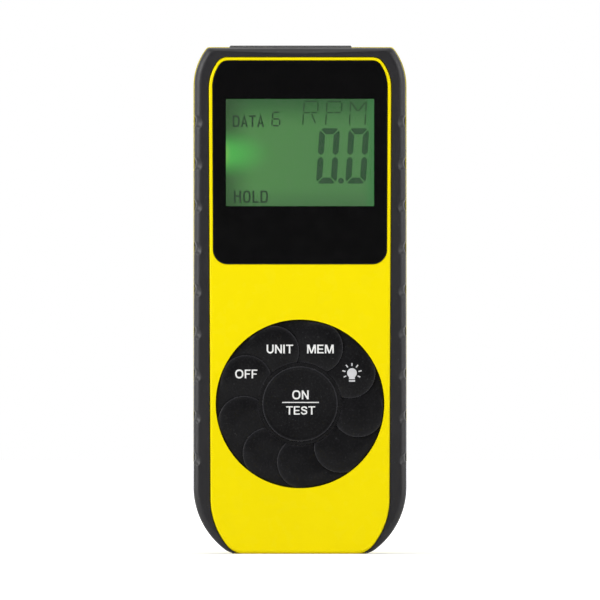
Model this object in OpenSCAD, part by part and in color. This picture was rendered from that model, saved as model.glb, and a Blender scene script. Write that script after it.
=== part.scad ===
// Laser tachometer: a handheld speed meter standing on its flat lower end.
// X runs to the right, Y from the front face to the back, Z up from the lower end.

/* [Case] */
// Width across the rear half
body_w = 60; // [59:0.5:70]
// Height, standing on its end
body_h = 142.5; // [140:0.5:165]
// Depth from the front face to the back
body_d = 33; // [32:0.5:40]
// Depth of the front half, from the face to the joint line
front_depth = 19.5; // [19.25:0.25:20.5]
// Thickness of the side and end walls
wall = 2; // [1.6:0.1:2.2]
// Thickness of the front wall
front_wall = 3.2; // [3:0.1:3.5]
// Radius of the top corners
top_r = 17.4; // [16:0.2:19]
// Part of the top corner circle that the flat top cuts off
top_cut = 6.4; // [5.6:0.2:7.4]
// Radius of the lower corners
low_r = 20.8; // [19:0.2:22]
// Part of the lower corner circle that the flat end cuts off
low_cut = 2.4; // [2:0.1:3]
// Amount that the rear half's lower corners are rounder than the band's
rear_low_more = 1.6; // [1:0.1:2.4]
// Amount that the lower corners of the face are rounder than the band's
face_low_more = 3.2; // [2.6:0.1:4]
// Rounding where the corner circles meet the flats
corner_soft = 1.2; // [0.6:0.1:1.6]
// Rounding of the back edges
back_edge_r = 6; // [3:0.5:7]
// Rounding of the front and back edges at the lower end
end_edge_r = 1.9; // [1:0.1:1.9]

/* [Face] */
// Width of the grip band beside the face, at the top
band_front_top = 4.15; // [3.6:0.05:4.6]
// Width of the grip band beside the face, at the bottom
band_front_low = 4.8; // [4.2:0.05:5.2]
// Distance from the top of the case to the top of the face
face_top_gap = 2.8; // [2.6:0.1:3.4]
// Radius of the top corners of the face
face_top_r = 11.2; // [10:0.2:13]
// Part of the face's top corner circle that its flat top cuts off
face_top_cut = 2.4; // [1.6:0.2:3.2]
// Distance from the band's lower corner circles down to those of the face
face_low_drop = 1.1; // [0.8:0.1:1.4]
// Rounding of the face's edge
face_edge_r = 0.5; // [0.2:0.1:0.8]

/* [Grip band] */
// Thickness of the grip band at the sides
band_t = 2.15; // [1.8:0.05:2.4]
// Amount that the rear half stands out beyond the band at the top
fringe = 0.35; // [0.1:0.05:0.6]
// Distance from the face down to the front of the band
band_drop = 0.5; // [0.3:0.1:0.7]
// Thickness of the band's front flange
flange_t = 1.2; // [1:0.1:1.4]
// Rounding of the band's front edge
band_edge_r = 2.2; // [1.6:0.1:2.6]
// Number of grip grooves on each side
groove_count = 9; // [3:1:9]
// Distance between the grip grooves as a share of the case's height
groove_share = 0.0828; // [0.06:0.0002:0.083]
// Height of the lowest groove
groove_z = 27.1; // [24:0.5:28]
// Height of one groove
groove_h = 3.2; // [2.4:0.1:4.5]
// Depth of a groove
groove_depth = 0.55; // [0.2:0.05:0.8]
// Length of a groove from front to back
groove_run = 11; // [6:0.5:13]

/* [Display] */
// Width of the yellow rim round the window
window_rim = 1.25; // [0.9:0.05:1.8]
// Height of the window as a share of the case's height
window_share = 0.4; // [0.38:0.005:0.42]
// Thickness of the window
window_t = 1.2; // [1:0.1:1.5]
// Depth of the window's surface below the face
window_drop = 0.15; // [0:0.05:0.3]
// Radius of the window's lower corners
window_low_r = 4.1; // [2:0.1:6]
// Gap beside the visible display, to the window's sides
view_side_gap = 3.8; // [3.1:0.1:5.6]
// Height of the visible display
view_h = 30.1; // [28:0.1:31]
// Gap between the visible display and the opening behind the window
view_gap = 0.5; // [0.3:0.1:0.8]
// Distance from the window's top to the visible display
view_top_gap = 10.7; // [9:0.1:12]
// Thickness of the display glass
lcd_t = 1.8; // [1.4:0.1:2.2]
// Width of the display glass beyond the visible area, each side
lcd_margin_w = 2.1; // [1.6:0.1:2.2]
// Height of the display glass beyond the visible area, each side
lcd_margin_h = 2.4; // [2:0.1:2.6]
// Wall of the frame that holds the display glass
lcd_frame_t = 1.1; // [0.8:0.1:1.2]
// Thickness of the reflector film
film_t = 0.2; // [0.1:0.05:0.3]
// Height of the rubber connector strip
strip_h = 1.8; // [1.4:0.1:2.2]

/* [Keypad] */
// Gap between the keypad and the grip band
keypad_side_gap = 1.6; // [1.4:0.1:3.2]
// Height of the keypad's centre as a share of the height of the window's lower edge
keypad_share = 0.5169; // [0.505:0.0001:0.56]
// Amount that the keys stand out beyond the face
key_proud = 0.6; // [0.3:0.1:1.2]
// Diameter of the middle key as a share of the keypad's
middle_key_share = 0.443; // [0.38:0.001:0.455]
// Width of the fixed ring round the middle key
key_ring_w = 0.85; // [0.6:0.05:1]
// Radius of one petal as a share of the keypad's diameter
petal_share = 0.155; // [0.15:0.001:0.165]
// Distance that a petal's circle runs past the keypad's edge
petal_past = 0.2; // [0.15:0.05:0.4]
// Travel of a key
key_travel = 0.9; // [0.5:0.05:1]
// Gap round each key
key_gap = 0.2; // [0.15:0.01:0.3]
// Thickness of a key's head
key_head_t = 1.9; // [1.5:0.1:2]
// Diameter of a key's stem
key_stem_d = 4; // [3:0.2:4.4]
// Width of the collar that holds a key in the sheet
key_collar_w = 1; // [0.7:0.1:1.4]
// Thickness of a key's collar
key_collar_t = 0.8; // [0.6:0.1:1]
// Thickness of the carbon pill under a key
pill_t = 0.3; // [0.2:0.05:0.4]
// Width of the keypad's flange behind the face
flange_w = 1.2; // [0.8:0.1:1.3]
// Thickness of the keypad's flange
sheet_t = 1.2; // [1:0.1:1.4]
// Width of the skirt that rests on the circuit board
skirt_w = 1.6; // [1:0.1:2]

/* [Circuit board] */
// Distance from the front wall to the circuit board
board_gap = 4.8; // [4.6:0.1:5.4]
// Thickness of the circuit board
board_t = 1.6; // [1.2:0.1:2]
// Gap between the board and the side walls
board_side_gap = 0.9; // [0.6:0.1:1.4]
// Diameter of the board screws' shanks
board_screw_d = 2; // [1.6:0.1:2.2]
// Length of the board screws under the head
board_screw_l = 5; // [4.2:0.1:5.4]
// Width of the processor, square
chip_w = 10; // [8:0.5:12]
// Height of the processor off the board
chip_t = 1.4; // [1:0.1:2]
// Length of the crystal's can
crystal_l = 11; // [8:0.5:11.5]
// Width of the crystal's can
crystal_w = 4.4; // [3.5:0.1:5]
// Height of the crystal's can off the board
crystal_t = 3.4; // [3:0.1:4]
// Diameter of the capacitor
capacitor_d = 6.3; // [5:0.1:7]
// Height of the capacitor off the board
capacitor_l = 6.6; // [5:0.1:7]

/* [Optics] */
// Width of the window in the top
beam_window_w = 34.3; // [32:0.1:36]
// Distance of the top window's middle from the case's middle, to the left
beam_window_shift = 2.65; // [2:0.05:3]
// Depth of the top window from front to back
beam_window_d = 10.4; // [9.6:0.1:10.8]
// Amount that the top window stands out beyond the band
beam_window_proud = 0.7; // [0.4:0.05:1]
// Diameter of the laser's barrel
barrel_d = 6.5; // [6:0.1:7]
// Length of the laser's barrel
barrel_l = 16; // [12:0.5:18]
// Bore of the laser's barrel
barrel_bore_d = 4.2; // [3.8:0.1:4.6]
// Thickness of the laser's lens
laser_lens_t = 1.4; // [1:0.1:2]
// Diameter of the receiver's lens
receiver_d = 8; // [7:0.1:8.2]
// Thickness of the receiver's lens
receiver_t = 3; // [2.4:0.1:4]
// Diameter of the light detector
detector_d = 5; // [4:0.1:5.4]
// Height of the light detector
detector_t = 4; // [3:0.1:5]
// Distance from the laser's axis to the receiver's axis
axis_gap = 15; // [13.5:0.1:16]
// Wall of the optics holder round its bores
holder_wall = 1.2; // [1:0.1:1.6]
// Height of the optics holder
holder_h = 20.5; // [20:0.5:22]
// Gap between the optics holder and the top wall
optics_gap = 0.5; // [0.3:0.1:0.8]
// Depth of the optics holder from the board backwards
holder_d = 9; // [9:0.1:9.4]

/* [Battery bay] */
// Diameter of one cell
cell_d = 10.5; // [10:0.1:10.6]
// Length of one cell with its nub
cell_l = 44.5; // [42:0.1:45]
// Height of the floor of the bay
bay_z = 8.5; // [8:0.1:9.5]
// Wall round the bay
bay_wall = 1.8; // [1.6:0.1:2]
// Gap between neighbouring cells and between cells and bay
cell_gap = 0.4; // [0.3:0.05:0.5]
// Length of a pressed battery spring
spring_l = 6; // [5:0.1:7]
// Wire of a battery spring
spring_wire_d = 0.6; // [0.4:0.05:0.8]
// Thickness of the contact plates
contact_t = 0.4; // [0.3:0.05:0.6]
// Thickness of the battery door
door_t = 2; // [1.8:0.1:2.4]
// Length of the door above the bay
door_over = 2; // [1.5:0.1:3]
// Width of the door's tongues
tongue_w = 0.9; // [0.6:0.1:1.1]
// Thickness of the door's tongues
tongue_t = 0.8; // [0.6:0.05:1]
// Sliding gap round the door
door_gap = 0.2; // [0.15:0.01:0.3]
// Number of thumb grooves in the door
thumb_count = 5; // [3:1:7]

/* [Case screws] */
// Diameter of the case screws' shanks
screw_d = 2.2; // [2:0.1:2.5]
// Length of the case screws under the head
screw_l = 11; // [9:0.5:12]
// Diameter of the case screws' heads
screw_head_d = 4.2; // [3.8:0.1:4.4]
// Height of the case screws' heads
screw_head_t = 1.6; // [1.2:0.1:2]
// Gap round a case screw's head
screw_gap = 0.25; // [0.15:0.05:0.4]
// Diameter of the front half's screw bosses
boss_d = 6; // [5:0.1:6.2]

/* [Hidden] */

$fn = 48;

// One overrun for every cut and join, and the gap between pieces that lie against each other
over = 0.5;
seam = 0.05;

// Steps of the arcs in the outlines and of the roundings
arc_steps = 8;
soft_steps = 2;
edge_steps = 4;

// Places from front to back
y_key = -(body_d + key_proud) / 2;
y_front = y_key + key_proud;
y_back = y_front + body_d;
y_split = y_front + front_depth;
y_inside = y_front + front_wall;
y_band = y_front + band_drop;
y_step = y_band + flange_t;
y_board = y_inside + board_gap;
y_board_back = y_board + board_t;
y_rear_inside = y_back - door_t;

// Heights of the corner circles and of the face
top_z = body_h - top_r + top_cut;
low_z = low_r - low_cut;
rear_low_r = low_r + rear_low_more;
face_top = body_h - face_top_gap;

// Outlines: half width below and above, lower corner radius, its centre's height, the
// lower end, upper corner radius, its centre's height, the upper end
rear_outline = [body_w / 2, body_w / 2, rear_low_r, rear_low_r - low_cut, 0,
    top_r, top_z, body_h];
band_outline = [body_w / 2 - seam, body_w / 2 - fringe, low_r, low_z, 0,
    top_r - fringe, top_z, body_h - fringe];
case_half = body_w / 2 - fringe - band_t;
case_outline = [case_half, case_half, low_r + face_low_more, low_z, 0,
    top_r - fringe - band_t, top_z, body_h - fringe - band_t];
face_outline = [body_w / 2 - band_front_low, body_w / 2 - band_front_top,
    low_r + face_low_more, low_z - face_low_drop, 0,
    face_top_r, face_top - face_top_r + face_top_cut, face_top];
case_top = case_outline[7];

// Shrinks an outline on its sides and top by one amount and at the lower end by another
function shrink(o, by, low_by) = [o[0] - by, o[1] - by, o[2] - by, o[3], o[4] + low_by,
    o[5] - by, o[6], o[7] - by];

// Narrows an outline without changing its lower corner circles
function narrow(o, by, low_by) = [o[0] - by, o[1] - by, o[2], o[3], o[4] + low_by,
    o[5] - by, o[6], o[7] - by];

// Points of an arc about [x, z]
function arc(x, z, r, from, to, steps) =
    [for (i = [0:steps]) let (a = from + (to - from) * i / steps) [x + r * cos(a), z + r * sin(a)]];

// Lower corner of an outline's right half, from the flat end up to the straight side
function low_corner(o, soft) =
    let (
        x = o[0] - o[2],
        soft_x = x + sqrt(max(0, pow(o[2] - soft, 2) - pow(o[3] - o[4] - soft, 2))),
        turn = -atan2(o[3] - o[4] - soft, soft_x - x)
    )
    concat(
        soft == 0 ? [] : [for (p = arc(soft_x, o[4] + soft, soft, -90, turn, soft_steps)) p],
        [for (i = [soft == 0 ? 0 : 1:arc_steps])
            let (a = turn * (1 - i / arc_steps)) [x + o[2] * cos(a), o[3] + o[2] * sin(a)]]);

// Upper corner of an outline's right half, from the straight side up to the flat top
function high_corner(o, soft) =
    let (
        x = o[1] - o[5],
        soft_x = x + sqrt(max(0, pow(o[5] - soft, 2) - pow(o[7] - soft - o[6], 2))),
        turn = atan2(o[7] - soft - o[6], soft_x - x)
    )
    concat(
        arc(x, o[6], o[5], 0, turn, arc_steps),
        [for (i = [1:soft_steps])
            let (a = turn + (90 - turn) * i / soft_steps)
            [soft_x + soft * cos(a), o[7] - soft + soft * sin(a)]]);

// Closed outline made of a right half and its mirror image
function mirrored(half) =
    concat(half, [for (i = [len(half) - 1:-1:0]) [-half[i][0], half[i][1]]]);

function whole(o) = mirrored(concat(low_corner(o, corner_soft), high_corner(o, corner_soft)));

// Inset of a rounded edge at a depth below the surface that it starts from
function edge_inset(depth, r) = depth >= r ? 0 : r - sqrt(r * r - pow(r - depth, 2));

// Sets an outline's points at one place from front to back
function at_y(points, y) = [for (p = points) [p[0], y, p[1]]];

// Skin over a row of rings with equal numbers of points
module loft(rings) {
    n = len(rings[0]);
    last = len(rings) - 1;
    points = [for (ring = rings) for (p = ring) p];
    sides = [for (i = [0:last - 1]) for (j = [0:n - 1])
        [i * n + j, i * n + (j + 1) % n, (i + 1) * n + (j + 1) % n, (i + 1) * n + j]];
    start_cap = [for (j = [n - 1:-1:0]) j];
    end_cap = [for (j = [0:n - 1]) last * n + j];
    polyhedron(points = points, faces = concat([start_cap], sides, [end_cap]), convexity = 6);
}

// Flat plate of an outline between two places from front to back
module slab(points, y0, y1) {
    translate([0, y1, 0])
        rotate([90, 0, 0])
            linear_extrude(height = y1 - y0)
                polygon(points);
}

// Round rod from front to back
module rod(x, z, y0, y1, d) {
    translate([x, y1, z])
        rotate([90, 0, 0])
            cylinder(h = y1 - y0, d = d);
}

// Round post from one height to another
module post(x, y, z0, z1, d) {
    translate([x, y, z0])
        cylinder(h = z1 - z0, d = d);
}

// Box between two corners
module block(from, to) {
    translate(from)
        cube(to - from);
}

// Front half: the face plate with its rounded edge, and the tray behind the band

face_depths = [for (i = [0:edge_steps]) end_edge_r * (1 - cos(90 * i / edge_steps))];
face_rings = concat(
    [for (d = face_depths)
        at_y(whole(shrink(face_outline, edge_inset(d, face_edge_r), edge_inset(d, end_edge_r))),
            y_front + d)],
    [at_y(whole(face_outline), y_step + seam + over)]);

cavity_outline = shrink(case_outline, wall, wall);

// The window and the display behind it
window_top = face_top - window_rim;
window_low = window_top - window_share * body_h;
window_half_low = body_w / 2 - band_front_low - window_rim
    + (band_front_low - band_front_top) * (window_low - low_z) / (face_outline[6] - low_z);
function window_points(grow) =
    let (o = [window_half_low + grow, face_outline[1] - window_rim + grow,
        window_low_r + grow, window_low + window_low_r, window_low - grow,
        face_top_r - window_rim + grow, face_outline[6], window_top + grow])
    mirrored(concat(low_corner(o, 0), high_corner(o, corner_soft)));

view_w = body_w - 2 * (band_front_top + window_rim + view_side_gap);
view_top = window_top - view_top_gap;
view_z = view_top - view_h / 2;
lcd_w = view_w + 2 * lcd_margin_w;
lcd_h = view_h + 2 * lcd_margin_h;
y_lcd = y_inside + 2 * seam;
y_guide = y_lcd + lcd_t + seam;
y_film = y_board - seam - film_t;
lcd_low = view_z - lcd_h / 2;
lcd_high = view_z + lcd_h / 2;
lcd_frame_low = lcd_low - 2 * seam - lcd_frame_t;

// Screw places of the case halves and of the circuit board
boss_r = boss_d / 2;
keypad_d = body_w - 2 * (band_front_low + keypad_side_gap);
keypad_r = keypad_d / 2;
keypad_z = keypad_share * window_low;
keypad_low = keypad_z - keypad_r - flange_w;
keypad_high = keypad_z + keypad_r + flange_w;
low_boss_x = case_half - wall / 2 - boss_r;
low_boss_z = low_z - 0.7 * wall;
high_boss_x = top_r + 0.8 * wall;
high_boss_z = case_top - wall - boss_r;
boss_places = [[-low_boss_x, low_boss_z], [low_boss_x, low_boss_z],
    [-high_boss_x, high_boss_z], [high_boss_x, high_boss_z]];
standoff_d = 2.25 * board_screw_d;
standoff_x = case_half - wall - board_side_gap - standoff_d;
standoff_z = (lcd_frame_low + keypad_high) / 2;
standoff_low_z = (keypad_low + wall) / 2;
standoff_places = [[-standoff_x, standoff_z], [standoff_x, standoff_z], [0, standoff_low_z]];

// Laser and receiver axes behind the circuit board
laser_x = axis_gap / 2 - seam;
receiver_x = laser_x - axis_gap;
axis_y = y_board_back + seam + holder_d / 2;
holder_top = case_top - wall - optics_gap;
holder_low = holder_top - holder_h;
beam_window_x0 = -beam_window_shift - beam_window_w / 2;
beam_window_y1 = y_split - 0.75 * wall;
beam_window_y0 = beam_window_y1 - beam_window_d;

module front_case() {
    color("gold")
        difference() {
            union() {
                difference() {
                    union() {
                        loft(face_rings);
                        slab(whole(case_outline), y_step + seam, y_split);
                    }
                    slab(whole(cavity_outline), y_inside, y_split + over);
                }
                for (p = boss_places)
                    rod(p[0], p[1], y_inside - over, y_split - seam, boss_d);
                for (p = standoff_places)
                    rod(p[0], p[1], y_inside - over, y_board, standoff_d);
            }
            slab(window_points(seam), y_front - over, y_front + window_drop + window_t + seam);
            block([-view_w / 2 - view_gap, y_front, view_z - view_h / 2 - view_gap],
                [view_w / 2 + view_gap, y_inside + over, view_z + view_h / 2 + view_gap]);
            rod(0, keypad_z, y_front - over, y_inside + over, keypad_d + key_gap);
            for (p = boss_places)
                rod(p[0], p[1], y_split - screw_l, y_split + over, screw_d + 2 * seam);
            for (p = standoff_places)
                rod(p[0], p[1], y_board - board_screw_l, y_board + over, board_screw_d + 2 * seam);
            post(laser_x, axis_y, case_top - wall - over, case_top + over, barrel_bore_d);
            post(receiver_x, axis_y, case_top - wall - over, case_top + over,
                receiver_d - holder_wall / 2);
        }
}

// Grip band: a skin over the sides and the top that ends in a tip at each lower corner

tip_z = 0.15 * wall;
groove_pitch = groove_share * body_h;
band_depths = [for (i = [0:edge_steps]) band_edge_r * (1 - cos(90 * i / edge_steps))];
band_rings = concat(
    [for (d = band_depths)
        at_y(whole(shrink(band_outline, edge_inset(d, band_edge_r), 0)), y_band + d)],
    [at_y(whole(band_outline), y_split - seam)]);
groove_r = (pow(groove_h / 2, 2) + pow(groove_depth, 2)) / (2 * groove_depth);

// Half width of the band at a height on its straight side
function band_half(z) = band_outline[0]
    + (band_outline[1] - band_outline[0]) * (z - low_z) / (top_z - low_z);

// One grip groove on the right side: along the side and round the front edge
module groove(z) {
    reach = (band_edge_r - groove_depth + groove_r) * cos(45);
    side_x = band_half(z) - groove_depth + groove_r;
    end_y = y_band + groove_run - groove_r / 2;
    rod(side_x, z, y_band - over, end_y, 2 * groove_r);
    translate([side_x, end_y, z])
        sphere(r = groove_r);
    translate([band_half(z) - band_edge_r + reach, y_band + band_edge_r - reach, z])
        rotate([90, 0, -45])
            cylinder(h = 2 * band_edge_r, r = groove_r, center = true);
}

module grip_band() {
    color("dimgray")
        difference() {
            loft(band_rings);
            slab(whole(shrink(face_outline, -seam, -over)), y_band - over, y_step + over);
            slab(whole(shrink(case_outline, -seam, -over)), y_step, y_split + over);
            block([-body_w, y_band - over, -over], [body_w, y_split + over, tip_z]);
            block([beam_window_x0 - seam, beam_window_y0 - seam, case_top - over],
                [beam_window_x0 + beam_window_w + seam, beam_window_y1 + seam, body_h + over]);
            for (g = [0:groove_count - 1])
                for (side = [0, 1])
                    mirror([side, 0, 0])
                        groove(groove_z + g * groove_pitch);
        }
}

// Rear half: outer form with rounded back edges, battery bay and screw posts

rear_depths = [for (i = [0:edge_steps]) back_edge_r * (1 - cos(90 * i / edge_steps))];
rear_rings = concat([at_y(whole(rear_outline), y_split + seam)],
    [for (i = [edge_steps:-1:0]) let (d = rear_depths[i])
        at_y(whole(narrow(rear_outline, edge_inset(d, back_edge_r), edge_inset(d, end_edge_r))),
            y_back - d)]);

bay_half = 1.5 * cell_d + 2 * cell_gap;
bay_l = 2 * contact_t + spring_l + cell_l + 3 * seam;
bay_top = bay_z + bay_l;
cell_y = y_rear_inside - cell_gap - cell_d / 2;
bay_front = cell_y - cell_d / 2 - cell_gap;
door_half = bay_half + bay_wall - 2 * door_gap - tongue_w;
door_top = bay_top + door_over;
door_low = 2 * door_gap;
tongue_y = y_back - door_t / 2 - tongue_t / 2;
tail_w = cell_d / 3;
head_y = y_split + 1.5 * wall;
post_d = screw_head_d + 2 * screw_gap + wall;
contact_w = cell_d - 2 * cell_gap;
cell_xs = [-cell_d - cell_gap, 0, cell_d + cell_gap];

// Room for the door with its tongues, grown by a gap
module door_room(gap) {
    block([-door_half - gap, y_rear_inside - gap / 2, door_low - gap],
        [door_half + gap, y_back + over, door_top + gap]);
    block([-door_half - tongue_w - gap, tongue_y - gap, door_low - gap],
        [door_half + tongue_w + gap, tongue_y + tongue_t + gap, door_top + gap]);
}

module rear_case() {
    color("gold")
        difference() {
            union() {
                difference() {
                    loft(rear_rings);
                    slab(whole(shrink(rear_outline, wall, wall)), y_split, y_back - 0.8 * back_edge_r);
                    slab(whole(shrink(rear_outline, 0.8 * back_edge_r, 1.5 * wall)),
                        y_split, y_rear_inside);
                }
                block([-bay_half - bay_wall, bay_front - bay_wall, bay_z - bay_wall],
                    [bay_half + bay_wall, y_rear_inside + seam, door_top + bay_wall]);
                block([-bay_half - bay_wall, y_rear_inside - bay_wall, wall / 2],
                    [bay_half + bay_wall, y_rear_inside + seam, bay_z]);
                for (p = boss_places)
                    rod(p[0], p[1], y_split + seam, y_rear_inside + seam, post_d);
            }
            block([-bay_half, bay_front, bay_z], [bay_half, y_back + over, bay_top]);
            translate([0, 0, -over])
                door_room(door_gap);
            door_room(door_gap);
            for (p = boss_places) {
                rod(p[0], p[1], y_split - over, y_back, screw_d + 4 * seam);
                rod(p[0], p[1], head_y, y_back + over, screw_head_d + 2 * screw_gap);
            }
            block([cell_xs[0] - tail_w / 2 - seam, bay_front - bay_wall - over, bay_z - seam],
                [cell_xs[0] + tail_w / 2 + seam, bay_front + over, bay_z + contact_t + 2 * seam]);
            block([cell_xs[2] - tail_w / 2 - seam, bay_front - bay_wall - over,
                bay_top - contact_t - 2 * seam],
                [cell_xs[2] + tail_w / 2 + seam, bay_front + over, bay_top + seam]);
        }
}

thumb_pitch = 2 * door_t;
thumb_z = door_top - (thumb_count + 1) * thumb_pitch;
thumb_lift = 0.3 * door_t;

module battery_door() {
    color("gold")
        difference() {
            intersection() {
                loft(rear_rings);
                door_room(0);
            }
            for (i = [0:thumb_count - 1])
                translate([-door_half / 2, y_back + thumb_lift, thumb_z + i * thumb_pitch])
                    rotate([0, 90, 0])
                        cylinder(h = door_half, d = door_t);
        }
}

// Window, display and backlight

module display_window() {
    color("black")
        slab(window_points(-seam), y_front + window_drop, y_front + window_drop + window_t);
}

module lcd_glass() {
    color("darkseagreen")
        block([-lcd_w / 2, y_lcd, lcd_low], [lcd_w / 2, y_lcd + lcd_t, lcd_high]);
}

module lcd_frame() {
    color("white")
        difference() {
            block([-lcd_w / 2 - 2 * seam - lcd_frame_t, y_inside + seam, lcd_frame_low],
                [lcd_w / 2 + 2 * seam + lcd_frame_t, y_board - seam,
                    lcd_high + 2 * seam + lcd_frame_t]);
            block([-lcd_w / 2 - 2 * seam, y_inside - over, lcd_low - 2 * seam],
                [lcd_w / 2 + 2 * seam, y_board + over, lcd_high + 2 * seam]);
        }
}

guide_low = lcd_low + strip_h + 3 * seam;
led_w = lcd_margin_w / 2;
led_h = 2 * lcd_margin_w;

module light_guide() {
    color("honeydew")
        difference() {
            block([-lcd_w / 2, y_guide, guide_low], [lcd_w / 2, y_film - seam, lcd_high]);
            block([-lcd_w / 2 - over, y_guide - over, view_z - led_h / 2 - seam],
                [-lcd_w / 2 + led_w + 2 * seam, y_film + over, view_z + led_h / 2 + seam]);
        }
}

module reflector_film() {
    color("whitesmoke")
        block([-lcd_w / 2 + led_w + 4 * seam, y_film, guide_low],
            [lcd_w / 2, y_film + film_t, lcd_high]);
}

module backlight_led() {
    color("palegreen")
        block([-lcd_w / 2 + seam, y_guide + seam, view_z - led_h / 2],
            [-lcd_w / 2 + led_w + seam, y_board - seam, view_z + led_h / 2]);
}

module connector_strip() {
    color("slategray")
        block([-view_w / 2, y_guide, lcd_low + seam],
            [view_w / 2, y_board - seam, lcd_low + seam + strip_h]);
}

// Keypad: nine petals about a middle key, four of which are keys

petal_count = 9;
petal_pitch = 360 / petal_count;
petal_r = petal_share * keypad_d;
middle_key_d = middle_key_share * keypad_d;
first_key_turn = 157;
petal_c = keypad_r + petal_past - petal_r;
petal_in = middle_key_d / 2 + 2 * key_gap + key_ring_w;
petal_out = keypad_r - key_gap / 2;
y_head = y_key + key_head_t;
y_floor = y_head + key_travel + key_gap;
y_sheet = y_inside + seam + sheet_t;
y_pill = y_board - key_travel - 2 * seam;
stem_c = (petal_in + petal_out) / 2;
stem_turn = -petal_pitch / 10;

// Turn on a petal's own circle at which it crosses a circle about the keypad's middle
function crossing(radius, r) =
    -acos((radius * radius - petal_c * petal_c - r * r) / (2 * petal_c * r));

// Direction from the keypad's middle to a place on a petal's circle
function bearing(cross, r) = atan2(r * sin(cross), petal_c + r * cos(cross));

// Curve of a petal's leading edge from the ring to the rim
function petal_edge(turn, r) =
    let (from = crossing(petal_in, r), to = crossing(petal_out, r))
    [for (i = [0:arc_steps]) let (a = turn + from + (to - from) * i / arc_steps)
        [petal_c * cos(turn) + r * cos(a), keypad_z + petal_c * sin(turn) + r * sin(a)]];

// Outline of one petal between its own edge and its neighbour's
function petal_points(turn) =
    let (
        r0 = petal_r - key_gap / 2,
        r1 = petal_r + key_gap / 2,
        next = turn + petal_pitch,
        rim_from = turn + bearing(crossing(petal_out, r0), r0),
        rim_to = next + bearing(crossing(petal_out, r1), r1),
        ring_from = next + bearing(crossing(petal_in, r1), r1),
        ring_to = turn + bearing(crossing(petal_in, r0), r0),
        rim = arc(0, keypad_z, petal_out, rim_from, rim_to, arc_steps),
        back = petal_edge(next, r1),
        ring = arc(0, keypad_z, petal_in, ring_from, ring_to, arc_steps)
    )
    concat(
        petal_edge(turn, r0),
        [for (i = [1:arc_steps]) rim[i]],
        [for (i = [arc_steps - 1:-1:0]) back[i]],
        [for (i = [1:arc_steps - 1]) ring[i]]);

function key_turn(i) = first_key_turn - i * petal_pitch;
function stem_place(i) = [stem_c * cos(key_turn(i) + stem_turn),
    keypad_z + stem_c * sin(key_turn(i) + stem_turn)];
stem_places = concat([[0, keypad_z]], [for (i = [0:3]) stem_place(i)]);

module keypad() {
    color("dimgray")
        difference() {
            union() {
                rod(0, keypad_z, y_floor, y_sheet, keypad_d);
                rod(0, keypad_z, y_inside + seam, y_sheet, keypad_d + 2 * flange_w);
                difference() {
                    rod(0, keypad_z, y_inside + seam, y_board - seam, keypad_d + 2 * flange_w);
                    rod(0, keypad_z, y_inside, y_board, keypad_d + 2 * flange_w - 2 * skirt_w);
                }
                difference() {
                    rod(0, keypad_z, y_key + key_proud / 2, y_sheet,
                        middle_key_d + 2 * key_gap + 2 * key_ring_w);
                    rod(0, keypad_z, y_key, y_floor, middle_key_d + 2 * key_gap);
                }
                for (i = [4:petal_count - 1])
                    slab(petal_points(key_turn(i)), y_key + seam, y_floor + over);
            }
            for (p = stem_places)
                rod(p[0], p[1], y_floor - over, y_sheet + over, key_stem_d + 2 * key_gap);
        }
}

// Stem and collar behind a key's head
module key_stem(p) {
    rod(p[0], p[1], y_head - over, y_pill - pill_t, key_stem_d);
    rod(p[0], p[1], y_sheet + seam, y_sheet + seam + key_collar_t, key_stem_d + 2 * key_collar_w);
}

module petal_key(i) {
    slab(petal_points(key_turn(i)), y_key, y_head);
    key_stem(stem_place(i));
}

module on_test_key() {
    color("dimgray") {
        rod(0, keypad_z, y_key, y_head, middle_key_d);
        key_stem(stem_places[0]);
    }
}

module off_key() {
    color("dimgray")
        petal_key(0);
}

module unit_key() {
    color("dimgray")
        petal_key(1);
}

module memory_key() {
    color("dimgray")
        petal_key(2);
}

module light_key() {
    color("dimgray")
        petal_key(3);
}

// Carbon pill on the end of a stem
module pill(p) {
    color("black")
        rod(p[0], p[1], y_pill - pill_t, y_pill, key_stem_d);
}

module on_test_pill() {
    pill(stem_places[0]);
}

module off_pill() {
    pill(stem_places[1]);
}

module unit_pill() {
    pill(stem_places[2]);
}

module memory_pill() {
    pill(stem_places[3]);
}

module light_pill() {
    pill(stem_places[4]);
}

// Circuit board and what is on it

board_half = case_half - wall - board_side_gap;
board_low = standoff_low_z - standoff_d * 0.8;
board_top = high_boss_z - boss_r - board_side_gap;
board_neck_half = low_boss_x - boss_r - board_side_gap;
board_neck_top = low_boss_z + boss_r + 2 * board_side_gap;
board_right = [[board_neck_half, board_low], [board_neck_half, board_neck_top],
    [board_half, board_neck_top + 2 * board_side_gap], [board_half, board_top - boss_r],
    [board_half - boss_r, board_top]];
parts_z = standoff_z + chip_w;
parts_half = board_half - 2 * board_side_gap;

module main_board() {
    color("seagreen")
        difference() {
            slab(mirrored(board_right), y_board, y_board_back);
            for (p = standoff_places)
                rod(p[0], p[1], y_board - over, y_board_back + over, board_screw_d + 4 * seam);
        }
}

module processor() {
    color("black")
        block([-chip_w / 2, y_board_back, parts_z - chip_w / 2],
            [chip_w / 2, y_board_back + chip_t, parts_z + chip_w / 2]);
}

module crystal() {
    color("silver")
        block([parts_half - crystal_l, y_board_back, parts_z - crystal_w / 2],
            [parts_half, y_board_back + crystal_t, parts_z + crystal_w / 2]);
}

module capacitor() {
    color("navy")
        rod(capacitor_d / 2 - parts_half, parts_z, y_board_back, y_board_back + capacitor_l,
            capacitor_d);
}

module board_screws() {
    color("silver")
        for (p = standoff_places) {
            rod(p[0], p[1], y_board_back - board_screw_l, y_board_back + seam, board_screw_d);
            difference() {
                rod(p[0], p[1], y_board_back, y_board_back + 0.7 * board_screw_d, 1.9 * board_screw_d);
                cross_slot(p, y_board_back + 0.7 * board_screw_d, board_screw_d);
            }
        }
}

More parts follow.
